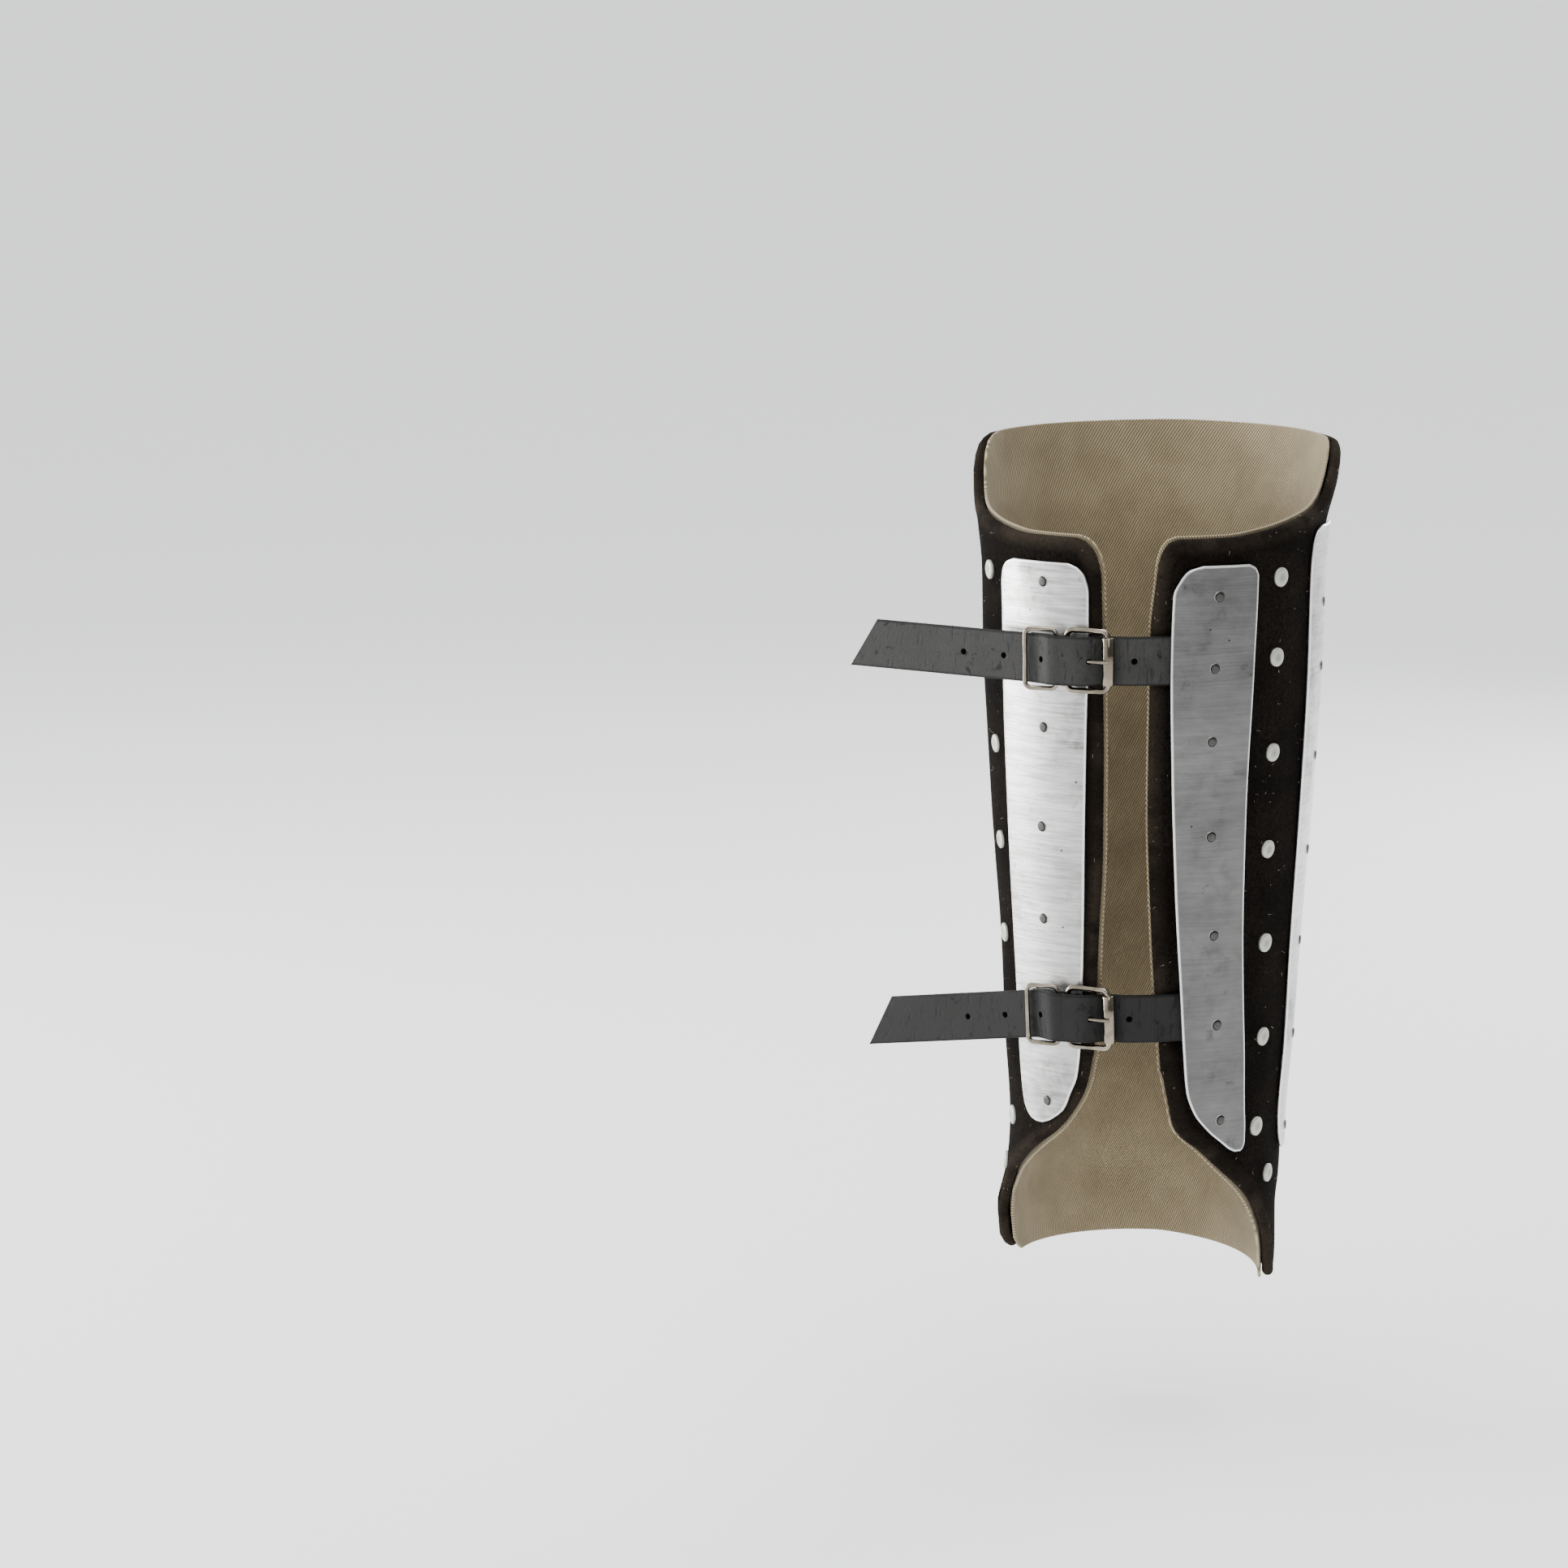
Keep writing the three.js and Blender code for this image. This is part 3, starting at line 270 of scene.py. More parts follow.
@dataclass
class Surface:
    """Points, faces and what the materials read of them, in millimetres."""

    points: Array
    faces: list[tuple[int, ...]]
    uv: Array | None = None
    rim: Array | None = None

    def volume(self) -> float:
        """Adds up the enclosed volume.

        Returns:
            The volume, negative if the faces point inwards.
        """
        total = 0.0
        for face in self.faces:
            a = self.points[face[0]]
            for k in range(1, len(face) - 1):
                total += float(np.dot(a, np.cross(self.points[face[k]], self.points[face[k + 1]])))
        return total / 6

    def to_object(self, name: str, material: bpy.types.Material | None) -> bpy.types.Object:
        """Makes the surface a smooth mesh object at the origin.

        Args:
            name: The object's name.
            material: What it is finished in.

        Returns:
            The new object, in the scene.
        """
        faces = self.faces if self.volume() > 0 else [face[::-1] for face in self.faces]
        mesh = bpy.data.meshes.new(name)
        mesh.from_pydata((self.points * MM).tolist(), [], faces)
        mesh.validate()
        if self.uv is not None:
            layer = mesh.uv_layers.new(name="UVMap")
            corners = np.empty(len(mesh.loops), np.int32)
            mesh.loops.foreach_get("vertex_index", corners)
            layer.data.foreach_set("uv", (self.uv[corners] * MM).astype(np.float32).ravel())
        if self.rim is not None:
            attribute = mesh.attributes.new("rim", "FLOAT", "POINT")
            attribute.data.foreach_set("value", self.rim.astype(np.float32))
        mesh.shade_smooth()
        if material:
            mesh.materials.append(material)
        made = bpy.data.objects.new(name, mesh)
        bpy.context.scene.collection.objects.link(made)
        return made


def border_of(columns: int, rows: int) -> list[tuple[int, int]]:
    """The loop of grid places round a grid's edge.

    Args:
        columns: The grid's columns.
        rows: The grid's rows.

    Returns:
        The column and row of each place, in order.
    """
    return (
        [(i, 0) for i in range(columns - 1)]
        + [(columns - 1, j) for j in range(rows - 1)]
        + [(i, rows - 1) for i in range(columns - 1, 0, -1)]
        + [(0, j) for j in range(rows - 1, 0, -1)]
    )


def grid_normals(grid: Array) -> Array:
    """Unit normals of a grid of points."""
    return unit(np.cross(np.gradient(grid, axis=0), np.gradient(grid, axis=1)))


def rounded_wall(
    grid: Array, thickness: float | Array, roll: float, uv: Array, steps: int = 8
) -> Surface:
    """Gives a curved sheet its thickness and a rounded edge.

    Args:
        grid: The sheet's middle, as columns by rows of points.
        thickness: The wall's thickness, all over or at each point.
        roll: How far in from the edge its rounding starts.
        uv: A place on the flat sheet for each point.
        steps: Divisions of the rounding.

    Returns:
        A closed surface, with the distance from the edge as its rim.
    """
    columns, rows = grid.shape[:2]
    normals = grid_normals(grid)
    half = np.broadcast_to(np.asarray(thickness, float) / 2, (columns, rows))
    loop = border_of(columns, rows)
    place = tuple(np.array(loop).T)
    edge, edge_normals, edge_half = grid[place], normals[place], half[place]
    tangents = unit(np.roll(edge, -1, axis=0) - np.roll(edge, 1, axis=0))
    inward = unit(np.cross(edge_normals, tangents))
    towards = grid[
        np.clip(place[0], 1, columns - 2), np.clip(place[1], 1, rows - 2)
    ] - edge
    if float((inward * towards).sum()) < 0:
        inward = -inward
    tree = kdtree.KDTree(len(edge))
    for index, point in enumerate(edge):
        tree.insert(point, index)
    tree.balance()
    nearest = [tree.find(point) for point in grid.reshape(-1, 3)]
    index = np.array([found[1] for found in nearest])
    distance = np.array([found[2] for found in nearest])
    fall = np.exp(-((distance / (3 * roll)) ** 2))[:, None]
    shift = (inward[index] * roll * fall).reshape(grid.shape)
    front = grid + normals * half[..., None] + shift
    back = grid - normals * half[..., None] + shift
    points = [front.reshape(-1, 3), back.reshape(-1, 3)]
    rims = [distance, distance]
    flat = uv.reshape(-1, 2)
    uvs = [flat, flat]
    count = columns * rows
    rings = [[i * rows + j for i, j in loop]]
    for step in range(1, steps):
        angle = math.pi * step / steps
        points.append(
            edge
            + inward * roll * (1 - math.sin(angle))
            + edge_normals * (edge_half * math.cos(angle))[:, None]
        )
        rims.append(np.full(len(loop), -roll * math.sin(angle)))
        uvs.append(uv[place])
        start = 2 * count + (step - 1) * len(loop)
        rings.append([start + k for k in range(len(loop))])
    rings.append([count + i * rows + j for i, j in loop])
    faces: list[tuple[int, ...]] = []
    for i in range(columns - 1):
        for j in range(rows - 1):
            a, b = i * rows + j, (i + 1) * rows + j
            faces.append((a, b, b + 1, a + 1))
            faces.append((count + a, count + a + 1, count + b + 1, count + b))
    for upper, lower in zip(rings, rings[1:]):
        for k in range(len(loop)):
            n = (k + 1) % len(loop)
            faces.append((upper[n], upper[k], lower[k], lower[n]))
    return Surface(np.concatenate(points), faces, np.concatenate(uvs), np.concatenate(rims))


def tube(
    path: Array,
    radius: float | Array,
    up: Array,
    closed: bool = False,
    sides: int = 14,
) -> Surface:
    """A round bar along a path, closed into a ring or with domed ends.

    Args:
        path: The points of its middle.
        radius: Its radius, all along or at each point.
        up: A direction that is never along the path.
        closed: Whether the path is a ring.
        sides: Divisions round the bar.

    Returns:
        The bar's surface.
    """
    radii = np.broadcast_to(np.asarray(radius, float), (len(path),)).copy()
    if not closed:
        cap = [math.sin(math.radians(turn)) for turn in (25, 55, 75)]
        lift = [1 - math.cos(math.radians(turn)) for turn in (25, 55, 75)]
        first, last = unit(path[0] - path[1]), unit(path[-1] - path[-2])
        head = [path[0] + first * radii[0] * (1 - l) for l in lift]
        tail = [path[-1] + last * radii[-1] * (1 - l) for l in reversed(lift)]
        path = np.concatenate([head, path, tail])
        radii = np.concatenate(
            [[radii[0] * c for c in cap], radii, [radii[-1] * c for c in reversed(cap)]]
        )
    count = len(path)
    if closed:
        along = unit(np.roll(path, -1, axis=0) - np.roll(path, 1, axis=0))
    else:
        along = unit(np.gradient(path, axis=0))
    side = unit(up - along * (along @ up)[:, None])
    third = np.cross(along, side)
    turns = 2 * np.pi * np.arange(sides) / sides
    points = (
        path[:, None]
        + side[:, None] * (radii[:, None] * np.cos(turns))[..., None]
        + third[:, None] * (radii[:, None] * np.sin(turns))[..., None]
    ).reshape(-1, 3)
    faces: list[tuple[int, ...]] = []
    for k in range(count if closed else count - 1):
        n = (k + 1) % count
        for s in range(sides):
            t = (s + 1) % sides
            faces.append((k * sides + s, n * sides + s, n * sides + t, k * sides + t))
    if not closed:
        faces.append(tuple(reversed(range(sides))))
        faces.append(tuple((count - 1) * sides + s for s in range(sides)))
    length = np.concatenate([[0], np.cumsum(np.linalg.norm(np.diff(path, axis=0), axis=1))])
    uv = np.stack(np.broadcast_arrays(length[:, None], turns * radii.max()), axis=-1)
    return Surface(points, faces, uv.reshape(-1, 2))


def smooth_path(knots: Array, count: int) -> Array:
    """A centripetal curve through knots, as points at equal distances along it.

    Args:
        knots: The points that it goes through.
        count: How many points to return.

    Returns:
        The points.
    """
    padded = np.concatenate([[2 * knots[0] - knots[1]], knots, [2 * knots[-1] - knots[-2]]])
    gaps = np.linalg.norm(np.diff(padded, axis=0), axis=1) ** 0.5
    t = np.linspace(0, 1, 40, endpoint=False)[:, None]
    runs = []
    for k in range(1, len(padded) - 2):
        p0, p1, p2, p3 = padded[k - 1 : k + 3]
        d0, d1, d2 = gaps[k - 1 : k + 2]
        start = ((p1 - p0) / d0 - (p2 - p0) / (d0 + d1) + (p2 - p1) / d1) * d1
        end = ((p2 - p1) / d1 - (p3 - p1) / (d1 + d2) + (p3 - p2) / d2) * d1
        runs.append(
            p1
            + start * t
            + (-3 * p1 + 3 * p2 - 2 * start - end) * t**2
            + (2 * p1 - 2 * p2 + start + end) * t**3
        )
    fine = np.concatenate([*runs, knots[-1:]])
    length = np.concatenate([[0], np.cumsum(np.linalg.norm(np.diff(fine, axis=0), axis=1))])
    at = np.linspace(0, length[-1], count)
    return np.stack([np.interp(at, length, fine[:, axis]) for axis in range(3)], axis=-1)


def cut(piece: bpy.types.Object, tools: Sequence[bpy.types.Object]) -> None:
    """Cuts closed tools out of a piece, and removes them.

    Args:
        piece: The piece that is cut.
        tools: The tools, whose finish stays on the cuts.
    """
    for tool in tools:
        modifier = piece.modifiers.new("cut", "BOOLEAN")
        modifier.operation = "DIFFERENCE"
        modifier.solver = "EXACT"
        modifier.material_mode = "TRANSFER"
        modifier.object = tool
    settle(piece)
    for tool in tools:
        bpy.data.objects.remove(tool)


def settle(piece: bpy.types.Object) -> None:
    """Makes a piece's modifiers part of its mesh.

    Args:
        piece: The piece, which keeps its object.
    """
    graph = bpy.context.evaluated_depsgraph_get()
    mesh = bpy.data.meshes.new_from_object(piece.evaluated_get(graph))
    piece.modifiers.clear()
    piece.data = mesh


def mark(piece: bpy.types.Object, name: str, values: Array | float) -> None:
    """Gives a piece's points an attribute that its material reads."""
    attribute = piece.data.attributes.new(name, "FLOAT", "POINT")
    count = len(piece.data.vertices)
    attribute.data.foreach_set("value", np.broadcast_to(values, (count,)).astype(np.float32))


def report(piece: bpy.types.Object, slot: str, *nodes: str) -> None:
    """Rides a finished piece on the body, in place of its nodes, and logs it.

    Args:
        piece: The piece.
        slot: A material slot's name, which is not used.
        *nodes: The solids that it replaces.
    """
    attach(piece, BODY)
    if nodes:
        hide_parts(*nodes)
    LOG.info("%s: %d faces", piece.name, len(piece.data.polygons))


# Node trees

class Graph:
    """Adds and links the nodes of one tree."""

    def __init__(self, tree: bpy.types.NodeTree) -> None:
        """Keeps the tree."""
        self.tree = tree

    def add(self, kind: str, inputs: dict[Any, Any] | None = None, **settings: Any) -> Any:
        """Adds a node.

        Args:
            kind: The node's type.
            inputs: Sockets to link or values to set, by the input's name or number.
            **settings: The node's own properties.

        Returns:
            The node.
        """
        node = self.tree.nodes.new(kind)
        for name, value in settings.items():
            setattr(node, name, value)
        for key, value in (inputs or {}).items():
            if isinstance(value, bpy.types.NodeSocket):
                self.tree.links.new(value, node.inputs[key])
            elif value is not None:
                node.inputs[key].default_value = value
        return node

    def math(self, operation: str, a: Any, b: Any = None, clamp: bool = False) -> Any:
        """Adds a sum of one or two values, and returns its socket."""
        node = self.add("ShaderNodeMath", {0: a, 1: b}, operation=operation, use_clamp=clamp)
        return node.outputs[0]

    def blend(self, share: Any, a: Any, b: Any, mode: str = "MIX") -> Any:
        """Mixes two colours.

        Args:
            share: The second colour's share.
            a: The first colour.
            b: The second colour.
            mode: How they mix.

        Returns:
            The mixed colour's socket.
        """
        node = self.add(
            "ShaderNodeMix", {0: share, 6: a, 7: b}, data_type="RGBA", blend_type=mode
        )
        return node.outputs[2]

    def between(self, value: Any, low: float, high: float, to_low: float, to_high: float) -> Any:
        """Maps a range of values smoothly to another.

        Args:
            value: The value's socket.
            low: Where the range starts.
            high: Where it ends.
            to_low: What its start becomes.
            to_high: What its end becomes.

        Returns:
            The mapped value's socket.
        """
        node = self.add(
            "ShaderNodeMapRange",
            {0: value, 1: low, 2: high, 3: to_low, 4: to_high},
            interpolation_type="SMOOTHSTEP",
        )
        return node.outputs[0]


def new_group(name: str, inputs: dict[str, Any], outputs: Sequence[str]) -> tuple[Graph, Any, Any]:
    """Starts a shader node group with named sockets.

    Args:
        name: The group's name.
        inputs: The default of each input: a number, or three numbers for a vector.
        outputs: The names of its values.

    Returns:
        The graph, the group's input node and its output node.
    """
    tree = bpy.data.node_groups.new(name, "ShaderNodeTree")
    for title, default in inputs.items():
        kind = "NodeSocketFloat" if isinstance(default, float) else "NodeSocketVector"
        socket = tree.interface.new_socket(title, in_out="INPUT", socket_type=kind)
        socket.default_value = default
    for title in outputs:
        tree.interface.new_socket(title, in_out="OUTPUT", socket_type="NodeSocketFloat")
    graph = Graph(tree)
    return graph, graph.add("NodeGroupInput"), graph.add("NodeGroupOutput")


def cloud_group() -> bpy.types.NodeTree:
    """Soft patches of two sizes: stains, rubbed nap and uneven dye.

    Returns:
        The group, with one value from 0 to 1.
    """
    graph, given, out = new_group(
        "patches", {"Vector": (0.0, 0.0, 0.0), "Scale": 60.0, "Contrast": 1.0}, ["Value"]
    )
    broad = graph.add(
        "ShaderNodeTexNoise",
        {"Vector": given.outputs["Vector"], "Scale": given.outputs["Scale"], "Detail": 6.0,
         "Roughness": 0.62, "Distortion": 0.4},
    )
    centred = graph.math("SUBTRACT", broad.outputs[0], 0.5)
    scaled = graph.math("MULTIPLY", centred, given.outputs["Contrast"])
    value = graph.math("ADD", scaled, 0.5, clamp=True)
    graph.tree.links.new(value, out.inputs["Value"])
    return graph.tree


def streak_group() -> bpy.types.NodeTree:
    """Fine scratches or creases, stretched by a vector of scales.

    Returns:
        The group, with a coarse and a fine value.
    """
    graph, given, out = new_group(
        "streaks", {"Vector": (0.0, 0.0, 0.0), "Stretch": (40.0, 40.0, 2600.0)}, ["Value", "Fine"]
    )
    placed = graph.add(
        "ShaderNodeMapping", {"Vector": given.outputs["Vector"], "Scale": given.outputs["Stretch"]}
    ).outputs[0]
    coarse = graph.add(
        "ShaderNodeTexNoise", {"Vector": placed, "Scale": 1.0, "Detail": 3.0, "Roughness": 0.7}
    )
    doubled = graph.add(
        "ShaderNodeMapping", {"Vector": placed, "Scale": (2.3, 1.7, 2.9), "Location": (3, 7, 5)}
    ).outputs[0]
    fine = graph.add(
        "ShaderNodeTexNoise", {"Vector": doubled, "Scale": 1.0, "Detail": 2.0, "Roughness": 0.6}
    )
    graph.tree.links.new(coarse.outputs[0], out.inputs["Value"])
    graph.tree.links.new(fine.outputs[0], out.inputs["Fine"])
    return graph.tree


def speck_group() -> bpy.types.NodeTree:
    """Scattered dots: lint, dust and pits.

    Returns:
        The group, with a mask that is 1 on a dot.
    """
    graph, given, out = new_group(
        "specks",
        {"Vector": (0.0, 0.0, 0.0), "Scale": 300.0, "Amount": 0.1, "Size": 0.2},
        ["Mask"],
    )
    cells = graph.add(
        "ShaderNodeTexVoronoi", {"Vector": given.outputs["Vector"], "Scale": given.outputs["Scale"]}
    )
    near = graph.math("LESS_THAN", cells.outputs["Distance"], given.outputs["Size"])
    chosen = graph.add("ShaderNodeSeparateColor", {0: cells.outputs["Color"]}).outputs[0]
    kept = graph.math("LESS_THAN", chosen, given.outputs["Amount"])
    mask = graph.math("MULTIPLY", near, kept)
    graph.tree.links.new(mask, out.inputs["Mask"])
    return graph.tree


def edge_group() -> bpy.types.NodeTree:
    """A band beside an edge, broken up by patches: wear, and on the suede and the steel also a painted
    highlight.

    Returns:
        The group, with a mask that is 1 at the edge.
    """
    graph, given, out = new_group(
        "edge wear",
        {"Distance": 5.0, "Reach": 0.6, "Breakup": 0.0, "Patches": 0.5},
        ["Mask"],
    )
    uneven = graph.math("SUBTRACT", given.outputs["Patches"], 0.5)
    pushed = graph.math("MULTIPLY", uneven, given.outputs["Breakup"])
    distance = graph.math("ADD", given.outputs["Distance"], pushed)
    share = graph.math("DIVIDE", distance, given.outputs["Reach"], clamp=True)
    mask = graph.math("SUBTRACT", 1.0, share, clamp=True)
    graph.tree.links.new(mask, out.inputs["Mask"])
    return graph.tree


class Effects:
    """The node groups that the finishes share."""

    def __init__(self) -> None:
        """Builds each group once."""
        self.patches = cloud_group()
        self.streaks = streak_group()
        self.specks = speck_group()
        self.edge = edge_group()


class Coat:
    """A material in the making: its shader, coordinates and shared effects."""

    def __init__(self, name: str, effects: Effects) -> None:
        """Starts a material.

        Args:
            name: The material's name.
            effects: The shared node groups.
        """
        self.effects = effects
        self.material = bpy.data.materials.new(name)
        self.material.use_nodes = True
        tree = self.material.node_tree
        self.graph = Graph(tree)
        self.shader = tree.nodes["Principled BSDF"]
        coordinates = self.graph.add("ShaderNodeTexCoord")
        self.place = coordinates.outputs["Object"]
        self.flat = coordinates.outputs["UV"]

    def use(self, tree: bpy.types.NodeTree, inputs: dict[str, Any]) -> Any:
        """Places a shared group with its own values.

        Args:
            tree: The group.
            inputs: Sockets to link or values to set, by the input's name.

        Returns:
            The group's node.
        """
        node = self.graph.add("ShaderNodeGroup", node_tree=tree)
        for key, value in inputs.items():
            if isinstance(value, bpy.types.NodeSocket):
                self.graph.tree.links.new(value, node.inputs[key])
            else:
                node.inputs[key].default_value = value
        return node

    def patches(self, scale: float, contrast: float) -> Any:
        """Soft patches at a scale."""
        inputs = {"Vector": self.place, "Scale": scale, "Contrast": contrast}
        return self.use(self.effects.patches, inputs).outputs[0]

    def rim(self) -> Any:
        """The distance from the piece's edge, in millimetres."""
        return self.graph.add("ShaderNodeAttribute", attribute_name="rim").outputs["Fac"]

    def set(self, **values: Any) -> None:
        """Sets or links the shader's sockets, named with underscores for spaces."""
        for key, value in values.items():
            socket = self.shader.inputs[key.replace("_", " ")]
            if isinstance(value, bpy.types.NodeSocket):
                self.graph.tree.links.new(value, socket)
            else:
                socket.default_value = value

    def bump(self, height: Any, distance: float, strength: float = 1.0) -> None:
        """Raises the surface by a height.

        Args:
            height: The height's socket, from 0 to 1.
            distance: How far a height of 1 raises it, in millimetres.
            strength: The share of it that shows.
        """
        node = self.graph.add(
            "ShaderNodeBump",
            {"Height": height, "Distance": distance * MM, "Strength": strength},
        )
        self.graph.tree.links.new(node.outputs[0], self.shader.inputs["Normal"])


def colour(r: float, g: float, b: float) -> tuple[float, float, float, float]:
    """An opaque colour."""
    return (r, g, b, 1.0)


@dataclass(frozen=True)
class Suede:
    """Black-brown suede with a short nap, grey-brown along its rolled edge, where it is rubbed and
    where a highlight is painted.
    """

    deep: tuple = colour(0.0015, 0.0011, 0.0009)
    rubbed: tuple = colour(0.0290, 0.0225, 0.0165)
    lint: tuple = colour(0.30, 0.27, 0.22)

    def material(self, effects: Effects) -> bpy.types.Material:
        """Builds the finish.

        Args:
            effects: The shared node groups.

        Returns:
            The material.
        """
        coat = Coat("suede", effects)
        graph = coat.graph
        nap = coat.patches(760.0, 2.6)
        dye = coat.patches(34.0, 2.4)
        # The lighter band along the rolled edge is wear and a painted highlight.
        worn = coat.use(
            effects.edge, {"Distance": coat.rim(), "Reach": 5.5, "Breakup": 5.0, "Patches": dye}
        ).outputs[0]
        rubbed = graph.math("MULTIPLY", worn, 0.55)
        tone = graph.math("ADD", graph.math("MULTIPLY", nap, 0.30), rubbed, clamp=True)
        uneven = graph.between(dye, 0.2, 0.8, 0.35, 1.3)
        tinted = graph.math("MULTIPLY", tone, uneven, clamp=True)
        base = graph.blend(tinted, self.deep, self.rubbed)
        specks = coat.use(
            effects.specks, {"Vector": coat.place, "Scale": 420.0, "Amount": 0.045, "Size": 0.11}
        ).outputs[0]
        coat.set(
            Base_Color=graph.blend(graph.math("MULTIPLY", specks, 0.6), base, self.lint),
            Roughness=0.96,
            Specular_IOR_Level=0.02,
            Sheen_Weight=0.02,
            Sheen_Roughness=0.5,
            Sheen_Tint=colour(0.55, 0.50, 0.46),
        )
        coat.bump(graph.math("ADD", nap, graph.math("MULTIPLY", dye, 0.8)), 0.55)
        return coat.material


@dataclass(frozen=True)
class Fibre:
    """Loose fibres whose tone wanders over the piece; in near black, the same finish is the painted
    shade inside the strap's holes.
    """

    name: str
    dark: tuple
    light: tuple

    def material(self, effects: Effects) -> bpy.types.Material:
        """Builds the finish.

        Args:
            effects: The shared node groups.

        Returns:
            The material.
        """
        coat = Coat(self.name, effects)
        coat.set(
            Base_Color=coat.graph.blend(coat.patches(900.0, 2.2), self.dark, self.light),
            Roughness=0.9,
            Specular_IOR_Level=0.1,
        )
        return coat.material


@dataclass(frozen=True)
class Twill:
    """Natural canvas twill with a diagonal rib."""

    pale: tuple = colour(0.50, 0.42, 0.265)
    shade: tuple = colour(0.13, 0.098, 0.055)
    rib: float = 1.3

    def material(self, effects: Effects) -> bpy.types.Material:
        """Builds the finish.

        Args:
            effects: The shared node groups.

        Returns:
            The material.
        """
        coat = Coat("canvas twill", effects)
        graph = coat.graph
        split = graph.add("ShaderNodeSeparateXYZ", {0: coat.flat})
        wobble = coat.patches(420.0, 0.5)
        across = graph.math("ADD", split.outputs[0], graph.math("MULTIPLY", wobble, 0.00035))
        slanted = graph.math("ADD", across, graph.math("MULTIPLY", split.outputs[1], 0.62))
        turns = graph.math("MULTIPLY", slanted, 2 * math.pi / (self.rib * MM))
        ribs = graph.math("SINE", turns)
        picks = graph.math("MULTIPLY", split.outputs[1], 2 * math.pi / (0.62 * self.rib * MM))
        thread = graph.math("SINE", graph.math("ADD", picks, turns))
        height = graph.math("ADD", graph.math("MULTIPLY", ribs, 0.42), 0.46)
        woven = graph.math("ADD", height, graph.math("MULTIPLY", thread, 0.12), clamp=True)
        stains = coat.patches(55.0, 1.2)
        tone = graph.math("MULTIPLY", woven, graph.between(stains, 0.2, 0.8, 0.6, 1.0))
        # The grooves between the ribs take the shade colour: painted shade in the weave's hollows.
        coat.set(
            Base_Color=graph.blend(tone, self.shade, self.pale),
            Roughness=0.92,
            Specular_IOR_Level=0.2,
            Sheen_Weight=0.12,
        )
        coat.bump(woven, 0.22)
        return coat.material


@dataclass(frozen=True)
class BrushedSteel:
    """Steel rubbed crosswise, with grey stains and dark smudges; its bright edge is rubbed metal and a
    painted highlight, and each plate's painted light and shade darkens it as a whole.
    """

    name: str = "splint steel"
    bright: tuple = colour(0.86, 0.855, 0.845)
    stained: tuple = colour(0.25, 0.24, 0.225)
    smudge: tuple = colour(0.10, 0.095, 0.085)
    roughness: float = 0.32
    stretch: tuple = (48.0, 48.0, 1150.0)

    def material(self, effects: Effects) -> bpy.types.Material:
        """Builds the finish.

        Args:
            effects: The shared node groups.

        Returns:
            The material.
        """
        coat = Coat(self.name, effects)
        graph = coat.graph
        streaks = coat.use(effects.streaks, {"Vector": coat.place, "Stretch": self.stretch})
        value, fine = streaks.outputs
        bands = coat.use(
            effects.streaks, {"Vector": coat.place, "Stretch": (34.0, 34.0, 430.0)}
        ).outputs[0]
        clouds = coat.patches(24.0, 1.7)
        blotches = coat.patches(140.0, 1.5)
        stain = graph.math(
            "MULTIPLY",
            graph.between(clouds, 0.4, 0.85, 0.0, 1.0),
            graph.between(blotches, 0.3, 0.75, 0.15, 1.0),
        )
        scratched = graph.between(value, 0.36, 0.66, 0.34, 0.0)
        banded = graph.between(bands, 0.36, 0.64, 0.24, 0.0)
        rubbed = graph.math(
            "ADD",
            graph.math("MULTIPLY", stain, 0.55),
            graph.math("ADD", scratched, banded),
            clamp=True,
        )
        # Painted light and shade: each plate's brightness, read from its attribute, darkens the steel
        # and damps its stains.
        polish = graph.add("ShaderNodeAttribute", attribute_name="polish").outputs["Fac"]
        marked = graph.math("MULTIPLY", rubbed, graph.between(polish, 0.2, 0.7, 0.55, 1.0))
        # A bright band along the plate's edge: rubbed metal and a painted highlight.
        edge = coat.use(
            effects.edge, {"Distance": coat.rim(), "Reach": 0.75, "Breakup": 0.4, "Patches": fine}
        ).outputs[0]
        dots = coat.use(
            effects.specks, {"Vector": coat.place, "Scale": 150.0, "Amount": 0.16, "Size": 0.075}
        ).outputs[0]
        smudges = graph.between(coat.patches(105.0, 2.0), 0.72, 1.0, 0.0, 0.5)
        uneven = graph.between(coat.patches(15.0, 1.8), 0.2, 0.8, 0.74, 1.1)
        # The painted light and shade, times random unevenness of the steel.
        painted_brightness = graph.math("MULTIPLY", polish, uneven)
        clean = graph.blend(marked, self.bright, self.stained)
        smudged = graph.blend(smudges, clean, self.smudge)
        base = graph.blend(1.0, smudged, painted_brightness, "MULTIPLY")
        dotted = graph.blend(graph.math("MULTIPLY", dots, 0.85), base, colour(0.03, 0.027, 0.024))
        rough = graph.between(value, 0.3, 0.7, self.roughness - 0.05, self.roughness + 0.07)
        coat.set(
            Base_Color=graph.blend(graph.math("MULTIPLY", edge, 0.8), dotted, colour(0.9, 0.9, 0.9)),
            Metallic=1.0,
            Roughness=graph.math("ADD", graph.math("MULTIPLY", stain, 0.16), rough),
        )
        hairlines = graph.math("MULTIPLY", fine, 0.4)
        relief = graph.math("ADD", graph.math("MULTIPLY", value, 0.8), hairlines)
        swell = graph.math("MULTIPLY", coat.patches(42.0, 1.0), 2.6)
        coat.bump(graph.math("ADD", relief, swell), 0.07)
        return coat.material


